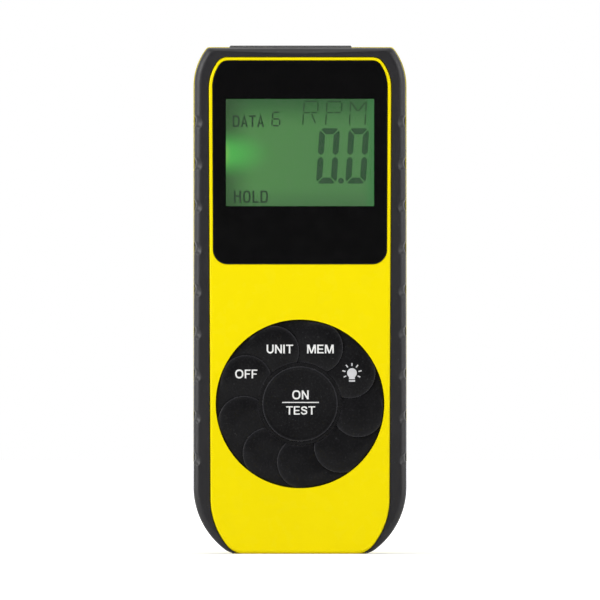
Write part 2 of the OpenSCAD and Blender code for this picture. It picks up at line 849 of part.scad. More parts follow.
// Cross recess in the head of a screw
module cross_slot(p, y, d) {
    for (turn = [0, 90])
        translate([p[0], y, p[1]])
            rotate([0, turn, 0])
                cube([d, 0.6 * d, 0.25 * d], center = true);
}

// Optics behind the top window

module optics_holder() {
    color("dimgray")
        difference() {
            block([receiver_x - receiver_d / 2 - holder_wall, y_board_back + seam, holder_low],
                [laser_x + barrel_d / 2 + holder_wall, y_board_back + seam + holder_d, holder_top]);
            post(laser_x, axis_y, holder_low - over, holder_top + over, barrel_d + 2 * seam);
            post(receiver_x, axis_y, holder_low + detector_t + seam, holder_top + over,
                receiver_d + 2 * seam);
            post(receiver_x, axis_y, holder_low - over, holder_top, detector_d + 2 * seam);
        }
}

module laser_barrel() {
    color("goldenrod")
        difference() {
            post(laser_x, axis_y, holder_top - barrel_l, holder_top, barrel_d);
            post(laser_x, axis_y, holder_top - barrel_l - over, holder_top + over, barrel_bore_d);
        }
}

module laser_lens() {
    color("lightblue")
        post(laser_x, axis_y, holder_top - 2 * laser_lens_t, holder_top - laser_lens_t,
            barrel_bore_d - 2 * seam);
}

// Two wires bent from a part above down to the circuit board
module leads(x, z, drop) {
    wire = contact_t;
    for (side = [-1, 1]) {
        block([x + side * detector_d / 4 - wire / 2, axis_y - wire / 2, z - drop],
            [x + side * detector_d / 4 + wire / 2, axis_y + wire / 2, z + seam]);
        block([x + side * detector_d / 4 - wire / 2, y_board_back, z - drop - wire],
            [x + side * detector_d / 4 + wire / 2, axis_y + wire / 2, z - drop]);
    }
}

module laser_diode() {
    color("silver") {
        post(laser_x, axis_y, holder_top - barrel_l, holder_top - barrel_l + laser_lens_t * 2,
            barrel_bore_d - 2 * seam);
        leads(laser_x, holder_top - barrel_l, barrel_bore_d + holder_h - barrel_l);
    }
}

module light_detector() {
    color("black") {
        post(receiver_x, axis_y, holder_low, holder_low + detector_t, detector_d);
        leads(receiver_x, holder_low, barrel_bore_d);
    }
}

receiver_curve_r = receiver_d;

module receiver_lens() {
    color("lightblue")
        intersection() {
            post(receiver_x, axis_y, holder_top - receiver_t, holder_top, receiver_d);
            translate([receiver_x, axis_y, holder_top - receiver_curve_r])
                sphere(r = receiver_curve_r);
        }
}

module beam_window() {
    color("dimgray")
        block([beam_window_x0, beam_window_y0, case_top + seam],
            [beam_window_x0 + beam_window_w, beam_window_y1,
                body_h - fringe + beam_window_proud]);
}

// Cells and their contacts; the middle cell stands the other way up

cell_nub_d = 0.36 * cell_d;
cell_nub_h = 0.1 * cell_d;

module cell(x) {
    color("steelblue") {
        post(x, cell_y, 0, cell_l - cell_nub_h, cell_d);
        post(x, cell_y, cell_l - cell_nub_h - over, cell_l, cell_nub_d);
    }
}

module standing_cell(x) {
    translate([0, 0, bay_top - contact_t - seam - cell_l])
        cell(x);
}

module battery_1() {
    standing_cell(cell_xs[0]);
}

module battery_2() {
    translate([0, 0, bay_z + contact_t + seam + cell_l])
        mirror([0, 0, 1])
            cell(cell_xs[1]);
}

module battery_3() {
    standing_cell(cell_xs[2]);
}

spring_turns = 3;
spring_steps = 12;
spring_sides = 6;

// Cone-shaped coil standing on its wide end
module coil() {
    last = spring_turns * spring_steps;
    wide = 0.33 * cell_d;
    slim = 0.2 * cell_d;
    wire = spring_wire_d / 2;
    loft([for (i = [0:last])
        let (
            a = 360 * i / spring_steps,
            r = wide + (slim - wide) * i / last,
            z = wire / 2 + (spring_l - seam - 1.5 * wire) * i / last
        )
        [for (j = [0:spring_sides - 1])
            let (b = 360 * j / spring_sides)
            [(r + wire * cos(b)) * cos(a), (r + wire * cos(b)) * sin(a), z + wire * sin(b)]]]);
}

// Contact plate of one or two cells, from its first to its last cell
module plate(first, last) {
    block([cell_xs[first] - contact_w / 2, bay_front + seam, 0],
        [cell_xs[last] + contact_w / 2, bay_front + seam + contact_w, contact_t]);
}

// Tail of a plate forward to the circuit board
module tail(index) {
    block([cell_xs[index] - tail_w / 2, y_board_back, 0],
        [cell_xs[index] + tail_w / 2, bay_front + tail_w, contact_t]);
}

module spring_on_plate(index) {
    translate([cell_xs[index], cell_y, contact_t])
        coil();
}

// Turns a contact made for the floor of the bay over to its roof
module to_roof() {
    translate([0, 0, bay_top - seam / 2])
        mirror([0, 0, 1])
            children();
}

module negative_contact() {
    color("silver")
        translate([0, 0, bay_z + seam / 2]) {
            plate(0, 0);
            tail(0);
            spring_on_plate(0);
        }
}

module lower_link() {
    color("silver")
        translate([0, 0, bay_z + seam / 2]) {
            plate(1, 2);
            spring_on_plate(2);
        }
}

module upper_link() {
    color("silver")
        to_roof() {
            plate(0, 1);
            spring_on_plate(1);
        }
}

module positive_contact() {
    color("silver")
        to_roof() {
            plate(2, 2);
            tail(2);
        }
}

module case_screws() {
    color("silver")
        for (p = boss_places) {
            rod(p[0], p[1], head_y - screw_l, head_y + seam, screw_d);
            difference() {
                rod(p[0], p[1], head_y, head_y + screw_head_t, screw_head_d);
                cross_slot(p, head_y + screw_head_t, screw_d);
            }
        }
}

front_case();
rear_case();
grip_band();
display_window();
lcd_glass();
lcd_frame();
light_guide();
reflector_film();
backlight_led();
connector_strip();
keypad();
on_test_key();
off_key();
unit_key();
memory_key();
light_key();
on_test_pill();
off_pill();
unit_pill();
memory_pill();
light_pill();
main_board();
processor();
crystal();
capacitor();
board_screws();
optics_holder();
laser_barrel();
laser_diode();
laser_lens();
light_detector();
receiver_lens();
beam_window();
battery_door();
battery_1();
battery_2();
battery_3();
negative_contact();
positive_contact();
upper_link();
lower_link();
case_screws();
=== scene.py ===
"""Looks of the laser tachometer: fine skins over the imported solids, their materials, the display
and key marks, and a plain pale studio. Lengths in the shape code are millimetres; every piece is
brought to metres as it is finished."""

from collections import namedtuple
from math import acos, atan2, copysign, cos, degrees, dist, exp, hypot, pi, radians, sin, sqrt

import bmesh
import bpy
import numpy as np
from mathutils import Matrix, Vector


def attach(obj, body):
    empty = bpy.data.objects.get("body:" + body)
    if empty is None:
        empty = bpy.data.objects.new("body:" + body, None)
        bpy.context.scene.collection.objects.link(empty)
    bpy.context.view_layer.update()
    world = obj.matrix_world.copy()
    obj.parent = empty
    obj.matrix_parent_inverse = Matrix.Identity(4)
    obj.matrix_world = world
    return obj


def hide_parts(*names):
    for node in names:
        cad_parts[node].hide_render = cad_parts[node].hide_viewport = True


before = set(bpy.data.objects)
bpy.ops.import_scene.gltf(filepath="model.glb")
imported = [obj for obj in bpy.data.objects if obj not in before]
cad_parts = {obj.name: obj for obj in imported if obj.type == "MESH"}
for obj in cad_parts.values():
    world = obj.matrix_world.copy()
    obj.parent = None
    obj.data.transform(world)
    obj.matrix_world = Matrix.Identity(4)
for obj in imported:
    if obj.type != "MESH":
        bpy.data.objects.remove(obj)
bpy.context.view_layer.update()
scene = bpy.context.scene

MM = 0.001

# Sizes of the model, in millimetres

OVER = 0.5
SEAM = 0.05
WALL = 2.0
Y_KEY, Y_FRONT, Y_BAND, Y_STEP, Y_INSIDE = -16.8, -16.2, -15.7, -14.5, -13.0
Y_BOARD, Y_SPLIT, Y_REAR_INSIDE, Y_BACK = -8.2, 3.3, 14.8, 16.8

# The right half of an outline: half width low and high, radius of the lower corner and height of
# its centre, foot, the same for the upper corner, head, and the softer radii that end the corners
Outline = namedtuple("Outline", "low high low_r low_z foot high_r high_z head low_soft high_soft")
REAR = Outline(30, 30, 22.4, 20.0, 0, 17.4, 131.5, 142.5, 1.2, 1.2)
BAND = Outline(29.95, 29.65, 22.0, 18.8, 0, 17.05, 131.5, 142.15, 6.0, 1.4)
CASE = Outline(27.5, 27.5, 24, 18.4, 0, 14.9, 131.5, 140, 1.2, 1.2)
FACE = Outline(25.2, 25.65, 21.2, 15.6, 0, 12.4, 130.8, 139.5, 6.0, 3.5)
LEAST_SOFT = 0.4
FACE_EDGE, FACE_LOW_EDGE, END_EDGE, BACK_EDGE, BAND_EDGE = 0.5, 1.1, 1.9, 6.0, 2.2
SEAM_LINE = 0.09

WINDOW_TOP, WINDOW_LOW, WINDOW_HIGH_Z = 138.6, 81.3, 131.0
WINDOW_HALF_LOW, WINDOW_HALF_HIGH = 24.45, 24.65
WINDOW_LOW_R, WINDOW_HIGH_R, WINDOW_SOFT = 4.1, 11.4, 3.0
WINDOW_DROP, WINDOW_T, WINDOW_EDGE, WINDOW_GAP = 0.15, 1.2, 0.2, 0.06
VIEW_HALF, VIEW_LOW, VIEW_HIGH, VIEW_GAP = 20.8, 97.65, 127.75, 0.5
PANE_OVER, PANE_SINK = 0.1, 0.02
Y_LCD, INK_LIFT = -12.9, 0.03

KEYPAD_R, KEYPAD_Z, HOLE_R = 23.6, 42.1, 23.7
FLANGE_R, SKIRT_R = 24.8, 23.2
MIDDLE_R, RING_IN, RING_OUT, RING_TOP = 10.455, 10.655, 11.505, -16.6
PETAL_IN, PETAL_OUT, PETAL_R = 11.7, 23.5, 7.316
PETAL_C = KEYPAD_R + 0.2 - PETAL_R
PETAL_PITCH, KEY_GAP, BLANK_GAP = 40, 0.09, 0.02
Y_TOP = Y_KEY + 0.04
Y_HEAD, Y_FLOOR, Y_SHEET, Y_PILL = -14.9, -13.8, -11.75, -9.2
STEM_C, STEM_D, STEM_OFF, STEM_GAP, COLLAR_D, COLLAR_T = 17.6, 4.0, 4, 0.4, 6.0, 0.8
KEY_TURNS = {"off": 157, "unit": 117, "memory": 77, "light": 37}
BLANK_TURNS = [357, 317, 277, 237, 197]
LIP_SHIFTS = {77: -4.0, 37: -4.7, 357: -4.2, 317: -3.9, 277: -4.1, 237: 0.6, 197: 0.8}

BAY_HALF, BAY_WALL, BAY_LOW, BAY_TOP, BAY_FRONT = 16.55, 1.8, 8.5, 59.95, 3.5
DOOR_HALF, DOOR_LOW, DOOR_TOP, TONGUE_W, TONGUE_T, DOOR_GAP = 17.05, 0.4, 61.95, 0.9, 0.8, 0.2
FINGER_GROOVES, FINGER_PITCH, FINGER_DROP, FINGER_R, FINGER_OUT = 5, 4, 24, 1.0, 0.6
# Heights of a cell's foot and nub, for the outer ones and the middle one
CELL_UP, CELL_DOWN = (15.05, 59.5), (53.45, 8.95)
BOSSES = [(-23.5, 17.0), (23.5, 17.0), (-19.0, 135.0), (19.0, 135.0)]
BOSS_D, POST_D, HEAD_D, HEAD_GAP, HEAD_Y = 6.0, 6.7, 4.2, 0.5, 6.3
RIB_HALF = 1.2
BEAM = [(-19.8, -8.6, 140.05), (14.5, 1.8, 142.85)]
LASER_X, RECEIVER_X, AXIS_Y = 7.45, -7.55, -2.05
BORE_LOW, BORE_HIGH, LASER_BORE, RECEIVER_BORE = 137.5, 140.5, 4.2, 7.4
GROOVES = [27.1 + 11.799 * i for i in range(9)]
GROOVE_H, GROOVE_DEPTH, GROOVE_RUN, GROOVE_START, STEEP = 3.2, 0.5, 11.0, 0.2, 5.0
TIP_SHARE = 0.4

# The photograph: its side, middle column and the row of the lower end in pixels, and a pixel's size
PHOTO_SIDE, PHOTO_MIDDLE, PHOTO_FOOT, PIXEL = 600, 300, 553.5, 0.2812


# Outlines

def narrow(o, by, low_by):
    """The outline moved inward except at its lower corner, with its foot raised by low_by."""
    return o._replace(low=o.low - by, high=o.high - by, foot=o.foot + low_by, high_r=o.high_r - by,
                      head=o.head - by, high_soft=max(LEAST_SOFT, o.high_soft - by))


def shrink(o, by, low_by):
    """The outline moved inward all round, with its foot raised by low_by."""
    return narrow(o, by, low_by)._replace(low_r=o.low_r - by,
                                          low_soft=max(LEAST_SOFT, o.low_soft - by))


def arc(x, z, r, start, end, steps):
    turns = np.radians(np.linspace(start, end, steps + 1))
    return [(x + r * cos(a), z + r * sin(a)) for a in turns]


def corner(half, r, soft, rise):
    """Centres of a corner's radius and of the softer one that ends it, and the turn where they
    meet; rise is the height between the two centres."""
    x = half - r
    soft_x = x + sqrt(max(0, (r - soft) ** 2 - rise ** 2))
    return x, soft_x, degrees(atan2(rise, soft_x - x))


def low_turn(o):
    x, soft_x, turn = corner(o.low, o.low_r, o.low_soft, o.low_z - o.foot - o.low_soft)
    return x, soft_x, -turn


def high_turn(o):
    return corner(o.high, o.high_r, o.high_soft, o.head - o.high_soft - o.high_z)


def low_corner(o, steps=28):
    x, soft_x, turn = low_turn(o)
    start = arc(soft_x, o.foot + o.low_soft, o.low_soft, -90, turn, 10)[:-1] if o.low_soft else []
    return start + arc(x, o.low_z, o.low_r, turn, 0, steps)


def high_corner(o):
    x, soft_x, turn = high_turn(o)
    return arc(x, o.high_z, o.high_r, 0, turn, 24) + arc(
        soft_x, o.head - o.high_soft, o.high_soft, turn, 90, 8)[1:]


def mirrored(half):
    return half + [(-x, z) for x, z in reversed(half)]


def whole(o):
    return mirrored(low_corner(o) + high_corner(o))


def window_outline(grow):
    o = Outline(WINDOW_HALF_LOW + grow, WINDOW_HALF_HIGH + grow, WINDOW_LOW_R + grow,
                WINDOW_LOW + WINDOW_LOW_R, WINDOW_LOW - grow, WINDOW_HIGH_R + grow, WINDOW_HIGH_Z,
                WINDOW_TOP + grow, 0, WINDOW_SOFT + grow)
    return mirrored(low_corner(o, steps=16) + high_corner(o))


def edge_inset(depth, r):
    """How far inward a rounded edge lies at a depth from its face."""
    return 0 if depth >= r else r - sqrt(max(0, r * r - (r - depth) ** 2))


def edge_depths(r, steps=10):
    return [r * (1 - cos(pi / 2 * i / steps)) for i in range(steps + 1)]


def smooth(x):
    x = min(max(x, 0), 1)
    return x * x * (3 - 2 * x)


def around(sides):
    return np.linspace(0, 2 * pi, sides, endpoint=False)


def circle(x, z, r, sides):
    return [(x + r * cos(a), z + r * sin(a)) for a in around(sides)]


def polar(r, a):
    return r * cos(a), r * sin(a)


def bar(x0, z0, x1, z1):
    return [(x0, z0), (x1, z0), (x1, z1), (x0, z1)]


# Solids

def placed(name, data):
    """A new object in the scene."""
    thing = bpy.data.objects.new(name, data)
    scene.collection.objects.link(thing)
    return thing


def discard(piece):
    mesh = piece.data
    bpy.data.objects.remove(piece)
    bpy.data.meshes.remove(mesh)


def solid(points, faces):
    mesh = bpy.data.meshes.new("solid")
    mesh.from_pydata(points, [], faces)
    shape = bmesh.new()
    shape.from_mesh(mesh)
    bmesh.ops.recalc_face_normals(shape, faces=shape.faces)
    shape.to_mesh(mesh)
    shape.free()
    return placed("solid", mesh)


def wall(rings, n, pairs):
    """Quads between rings of n points; pairs is how many rings are joined to the next one."""
    return [(i * n + j, i * n + (j + 1) % n, k * n + (j + 1) % n, k * n + j)
            for i in range(pairs) for k in [(i + 1) % rings] for j in range(n)]


def loft(rings):
    n, last = len(rings[0]), len(rings) - 1
    points = [p for ring in rings for p in ring]
    return solid(points, [tuple(range(n - 1, -1, -1))] + wall(last + 1, n, last)
                 + [tuple(last * n + j for j in range(n))])


def at_y(outline, y):
    return [(x, y, z) for x, z in outline]


def slab(outline, y0, y1):
    return loft([at_y(outline, y0), at_y(outline, y1)])


def rod(x, z, y0, y1, d, sides=64):
    """Upright on the face, along Y."""
    return slab(circle(x, z, d / 2, sides), y0, y1)


def post(x, y, z0, z1, d):
    """Along Z."""
    ring = circle(x, y, d / 2, 48)
    return loft([[(px, py, z) for px, py in ring] for z in (z0, z1)])


def block(low, high):
    (x0, y0, z0), (x1, y1, z1) = low, high
    return slab(bar(x0, z0, x1, z1), y0, y1)


def wide_block(half, y0, y1, z0, z1):
    return block((-half, y0, z0), (half, y1, z1))


def lathe(x, z, profile, sides):
    """Solid of revolution about a line along Y; profile is (radius, y), from the axis and back."""
    return loft([at_y(circle(x, z, r, sides), y) for r, y in profile])


def baked(piece):
    """Applies the piece's modifiers."""
    graph = bpy.context.evaluated_depsgraph_get()
    mesh = bpy.data.meshes.new_from_object(piece.evaluated_get(graph))
    piece.modifiers.clear()
    old, piece.data = piece.data, mesh
    bpy.data.meshes.remove(old)


def cut(piece, cutter, operation="DIFFERENCE"):
    step = piece.modifiers.new("cut", "BOOLEAN")
    step.operation, step.solver, step.object = operation, "EXACT", cutter
    baked(piece)
    discard(cutter)
    return piece


def joined(pieces):
    """One object of separate shells."""
    shape = bmesh.new()
    for piece in pieces:
        shape.from_mesh(piece.data)
    shape.to_mesh(pieces[0].data)
    shape.free()
    for piece in pieces[1:]:
        discard(piece)
    return pieces[0]


def finished(piece, name, body, material, replaces=(), bevel=0.0, sharp=38, weighted=True):
    """Softens the edges, smooths the shading, goes to metres and puts the piece on its body."""
    if bevel:
        step = piece.modifiers.new("bevel", "BEVEL")
        step.width, step.segments, step.limit_method = bevel, 2, "ANGLE"
        step.angle_limit = radians(40)
        baked(piece)
    # Key rubber gets a painted highlight marked on its lit lips and rims.
    if material is key_rubber:
        paint_lip_shine(piece)
    piece.data.shade_smooth()
    piece.data.set_sharp_from_angle(angle=radians(sharp))
    if weighted:
        step = piece.modifiers.new("normals", "WEIGHTED_NORMAL")
        step.keep_sharp = True
        baked(piece)
    mesh = piece.data
    mesh.transform(Matrix.Scale(MM, 4))
    mesh.materials.clear()
    mesh.materials.append(material)
    piece.name = mesh.name = name
    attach(piece, body)
    if replaces:
        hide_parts(*replaces)


# Materials

def put(socket, value):
    """Links an input to another node's output, or sets its value."""
    if isinstance(value, bpy.types.NodeSocket):
        socket.id_data.links.new(value, socket)
    elif socket.type == "RGBA":
        socket.default_value = (*value, 1)
    else:
        socket.default_value = value


def fill(made, **values):
    """Puts values into a node's inputs, whose names have spaces in place of _."""
    for key, value in values.items():
        put(made.inputs[key.replace("_", " ")], value)


def node(tree, kind, *values, **named):
    """A new node; plain values go to its first inputs."""
    made = tree.nodes.new("ShaderNode" + kind)
    for socket, value in zip(made.inputs, values):
        put(socket, value)
    fill(made, **named)
    return made


def empty_tree(owner):
    owner.use_nodes = True
    owner.node_tree.nodes.clear()
    return owner.node_tree


def place_of(tree):
    return node(tree, "TexCoord").outputs["Object"]


def new_material(name):
    """A material, the place on its piece, and its shader."""
    m = bpy.data.materials.new(name)
    tree = empty_tree(m)
    shader = node(tree, "BsdfPrincipled")
    node(tree, "OutputMaterial", shader.outputs[0])
    return m, place_of(tree), shader


def axis(place, name):
    return node(place.id_data, "SeparateXYZ", place).outputs[name]


def noise(place, scale, detail=2.0, stretch=None):
    if stretch:
        place = node(place.id_data, "Mapping", Vector=place, Scale=stretch).outputs[0]
    made = node(place.id_data, "TexNoise", Vector=place, Scale=scale, Detail=detail)
    return made.outputs["Fac"]


def ranged(value, a, b, c=0, d=1, kind="LINEAR"):
    """Carries values from a to b over to c to d."""
    n = node(value.id_data, "MapRange", Value=value, From_Min=a, From_Max=b, To_Min=c, To_Max=d)
    n.interpolation_type = kind
    return n.outputs[0]


def eased(value, a, b, c=0, d=1):
    return ranged(value, a, b, c, d, "SMOOTHSTEP")


def mixed(factor, a, b):
    """Colour a where factor is 0, and b where it is 1."""
    n = node(factor.id_data, "Mix")
    n.data_type = "RGBA"
    put(n.inputs["Factor"], factor)
    for key, value in (("A", a), ("B", b)):
        put(next(s for s in n.inputs if s.name == key and s.type == "RGBA"), value)
    return next(s for s in n.outputs if s.type == "RGBA")


def maths(operation, *values):
    n = node(values[0].id_data, "Math", *values)
    n.operation = operation
    return n.outputs[0]


def bump(height, strength, distance):
    made = node(height.id_data, "Bump", Height=height, Strength=strength, Distance=distance)
    return made.outputs[0]


def surface(name, colour, rough, mottle=0.05, mottle_scale=45.0, spread=0.05, grain=0.25,
            grain_scale=2200.0, grain_depth=0.00002, stretch=None, specks=None, shine_colour=None,
            **values):
    """A moulded or turned surface: colour that varies a little, uneven gloss, fine relief; specks
    are pale dust, and the edge colour is a painted highlight, laid where a mesh marks the edges
    that catch the light."""
    m, place, shader = new_material(name)
    blotch = eased(noise(place, mottle_scale, 3.0), 0.3, 0.7)
    shade = mixed(blotch, [c * (1 - mottle) for c in colour],
                  [min(1, c * (1 + mottle)) for c in colour])
    if specks:
        shade = mixed(eased(noise(place, 1900, 1.0), 0.70, 0.78), shade, specks)
    # Painted highlight: the edge colour goes where the mesh marks the lit lips and rims.
    if shine_colour:
        painted_shine = node(place.id_data, "Attribute")
        painted_shine.attribute_name = "painted_shine"
        shade = mixed(painted_shine.outputs["Fac"], shade, shine_colour)
    uneven = noise(place, mottle_scale * 6, 4.0)
    relief = noise(place, grain_scale, 2.0, stretch)
    fill(shader, Base_Color=shade, Normal=bump(relief, grain, grain_depth),
         Roughness=ranged(uneven, 0.3, 0.7, max(0, rough - spread), rough + spread), **values)
    return m


yellow = surface("case_yellow", (0.94, 0.772, 0.0006), 0.26, mottle=0.012, spread=0.04, grain=0.05,
                 Specular_IOR_Level=0.09)
rubber = surface("grip_rubber", (0.0092, 0.0084, 0.0104), 0.42, mottle=0.16, mottle_scale=160,
                 grain=0.35, grain_scale=1500, grain_depth=0.00004, specks=(0.04, 0.04, 0.045),
                 Specular_IOR_Level=0.5, Sheen_Weight=0.12, Sheen_Roughness=0.3)
# Key rubber with pale specks of dust and a painted highlight on the lit lips of the petals and the
# rim of the middle key.
key_rubber = surface("key_rubber", (0.0092, 0.0090, 0.0098), 0.26, mottle=0.14, mottle_scale=220,
                     grain=0.22, grain_scale=1700, grain_depth=0.00003,
                     specks=(0.035, 0.035, 0.038), shine_colour=(0.045, 0.045, 0.050),
                     Specular_IOR_Level=0.1)
black_gloss = surface("window_black", (0.0032, 0.0032, 0.0034), 0.07, mottle=0.1, spread=0.02,
                      grain=0.03, grain_scale=250)
ink = surface("key_ink", (0.84, 0.84, 0.83), 0.5, mottle_scale=700, grain=0.2)
ink_grey = surface("key_ink_grey", (0.64, 0.64, 0.66), 0.5, mottle_scale=700, grain=0.2)
smoke = surface("beam_window_dark", (0.19, 0.19, 0.195), 0.16, spread=0.03, grain=0.05,
                grain_scale=600, Transmission_Weight=0.35)
white_plastic = surface("frame_white", (0.80, 0.80, 0.78), 0.4, mottle=0.03)
black_plastic = surface("holder_black", (0.03, 0.03, 0.032), 0.45, mottle=0.1)
carbon = surface("carbon", (0.012, 0.012, 0.012), 0.75, mottle=0.2, mottle_scale=900, grain=0.5)
epoxy = surface("chip_black", (0.02, 0.02, 0.021), 0.55, mottle=0.15, mottle_scale=600, grain=0.5)
strip = surface("strip_rubber", (0.25, 0.25, 0.29), 0.55, mottle=0.25, mottle_scale=500)
film = surface("film_white", (0.85, 0.86, 0.85), 0.25, mottle=0.03)
guide = surface("guide_clear", (0.75, 0.9, 0.8), 0.15, mottle=0.03, Transmission_Weight=0.8)
led = surface("led_green", (0.35, 0.8, 0.35), 0.2, Transmission_Weight=0.3)
sleeve = surface("capacitor_sleeve", (0.012, 0.018, 0.08), 0.22, mottle=0.08, grain=0.1)
can = surface("can_metal", (0.62, 0.62, 0.61), 0.32, mottle=0.06, spread=0.08, grain_scale=700,
              stretch=(1, 12, 12), Metallic=1.0)
steel = surface("screw_steel", (0.55, 0.55, 0.56), 0.3, mottle=0.12, mottle_scale=300, spread=0.1,
                grain=0.3, grain_scale=900, Metallic=1.0)
nickel = surface("contact_nickel", (0.66, 0.64, 0.60), 0.26, mottle=0.06, spread=0.08, grain=0.2,
                 grain_scale=600, stretch=(1, 1, 10), Metallic=1.0)
brass = surface("brass", (0.72, 0.50, 0.17), 0.28, mottle=0.08, spread=0.08, grain=0.3,
                grain_scale=900, stretch=(1, 1, 14), Metallic=1.0)
lens = surface("lens_clear", (0.9, 0.93, 0.98), 0.05, mottle=0.01, spread=0.02, grain=0.02,
               Transmission_Weight=1.0)
clear = surface("window_clear", (0.97, 0.98, 0.97), 0.004, mottle=0.005, spread=0.004, grain=0.0,
                Transmission_Weight=1.0, IOR=1.4)


def board_material():
    """Solder mask with copper tracks under it and tinned pads."""
    m, place, shader = new_material("board_green")
    tree = place.id_data
    turned = node(tree, "Mapping", Vector=place, Rotation=(pi / 2, 0, 0)).outputs[0]
    tracks = node(tree, "TexBrick", Vector=turned, Scale=210, Mortar_Size=0.045, Mortar_Smooth=0.3,
                  Brick_Width=1.3, Row_Height=0.5)
    tracks.offset = 0.35
    copper = tracks.outputs["Fac"]
    pads = node(tree, "TexVoronoi", Vector=place, Scale=330, Randomness=0.55)
    pad = eased(pads.outputs["Distance"], 0.13, 0.17, 1, 0)
    mask = mixed(copper, (0.010, 0.115, 0.035), (0.03, 0.21, 0.07))
    fill(shader, Base_Color=mixed(pad, mask, (0.6, 0.6, 0.57)), Metallic=pad,
         Roughness=ranged(pad, 0, 1, 0.22, 0.35), Normal=bump(copper, 0.5, 0.00004))
    return m


def cell_material(name, foot, nub):
    """Printed sleeve in two plain colours, with bare metal at both ends."""
    m, place, shader = new_material(name)
    along = ranged(axis(place, "Z"), foot * MM, nub * MM)
    pale = ranged(along, 0.685, 0.69)
    band = maths("MULTIPLY", ranged(along, 0.655, 0.66), ranged(along, 0.685, 0.69, 1, 0))
    bare = maths("MAXIMUM", ranged(along, 0.012, 0.015, 1, 0), ranged(along, 0.972, 0.975))
    colour = (0.012, 0.045, 0.16)
    for share, shade in ((pale, (0.62, 0.60, 0.55)), (band, (0.75, 0.75, 0.72)),
                         (bare, (0.63, 0.63, 0.62))):
        colour = mixed(share, colour, shade)
    uneven = noise(place, 400, 3.0)
    fill(shader, Base_Color=colour, Metallic=ranged(bare, 0, 1, 0.15, 1.0),
         Roughness=ranged(uneven, 0.3, 0.7, 0.24, 0.36),
         Normal=bump(noise(place, 1200), 0.2, 0.00002))
    return m


def lit_display():
    """Green backlit glass, with a glow from the lamp at its left edge and darker borders."""
    m, place, shader = new_material("display_glass")
    x = ranged(axis(place, "X"), -VIEW_HALF * MM, VIEW_HALF * MM)
    z = ranged(axis(place, "Z"), VIEW_LOW * MM, VIEW_HIGH * MM)

    def spot(height, wide, tall):
        """Distance from a place on the left edge, in shares of a lit spot's reach."""
        across = maths("DIVIDE", x, wide)
        up = maths("DIVIDE", maths("SUBTRACT", z, height), tall)
        return maths("SQRT", maths("ADD", maths("MULTIPLY", across, across),
                                         maths("MULTIPLY", up, up)))

    top = eased(z, 0.72, 1.02, 0, 0.85)
    low = eased(z, 0.20, -0.02, 0, 0.7)
    left = eased(x, 0.20, -0.01, 0, 0.68)
    right = eased(x, 0.92, 1.0, 0, 0.9)
    glow = eased(spot(0.49, 0.27, 0.20), 1.25, 0.1, 0, 0.97)
    hot = eased(spot(0.485, 0.03, 0.14), 1.2, 0.0, 0, 0.7)
    specks = ranged(noise(place, 900), 0.35, 0.65, 0, 0.06)
    colour = mixed(eased(x, 0.1, 0.95), (0.055, 0.205, 0.044), (0.052, 0.185, 0.046))
    for share, shade in ((top, (0.003, 0.070, 0.009)), (low, (0.028, 0.112, 0.028)),
                         (left, (0.0, 0.035, 0.0)), (right, (0.022, 0.165, 0.034)),
                         (glow, (0.056, 0.405, 0.056)), (hot, (0.17, 0.50, 0.07)),
                         (specks, (0.12, 0.24, 0.10))):
        colour = mixed(share, colour, shade)
    fill(shader, Base_Color=(0.004, 0.006, 0.004), Roughness=0.35, Specular_IOR_Level=0.1,
         Emission_Color=colour, Emission_Strength=1.0)
    return m


def crystal_ink(name, colour):
    m, place, shader = new_material(name)
    uneven = noise(place, 260)
    shade = mixed(uneven, [c * 0.85 for c in colour], [c * 1.15 for c in colour])
    fill(shader, Base_Color=(0.003, 0.005, 0.004), Roughness=0.5, Specular_IOR_Level=0.1,
         Emission_Color=shade, Emission_Strength=1.0)
    return m


segment_dark = crystal_ink("segment_dark", (0.0072, 0.056, 0.012))
segment_word = crystal_ink("segment_word", (0.001, 0.026, 0.003))
segment_faint = crystal_ink("segment_faint", (0.002, 0.044, 0.004))

for node_material, *node_names in (
        (lit_display(), "lcd_glass"), (white_plastic, "lcd_frame"), (guide, "light_guide"),
        (film, "reflector_film"), (led, "backlight_led"), (strip, "connector_strip"),
        (carbon, "on_test_pill", "off_pill", "unit_pill", "memory_pill", "light_pill"),
        (board_material(), "main_board"), (epoxy, "processor", "light_detector"),
        (can, "crystal", "laser_diode"), (sleeve, "capacitor"), (black_plastic, "optics_holder"),
        (brass, "laser_barrel"), (lens, "laser_lens", "receiver_lens"),
        (cell_material("cell_sleeve_1", *CELL_UP), "battery_1"),
        (cell_material("cell_sleeve_2", *CELL_DOWN), "battery_2"),
        (cell_material("cell_sleeve_3", *CELL_UP), "battery_3"),
        (nickel, "negative_contact", "positive_contact", "upper_link", "lower_link"),
        (steel, "board_screws", "case_screws")):
    for node_name in node_names:
        for material_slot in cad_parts[node_name].material_slots:
            material_slot.material = node_material


# Front half of the case

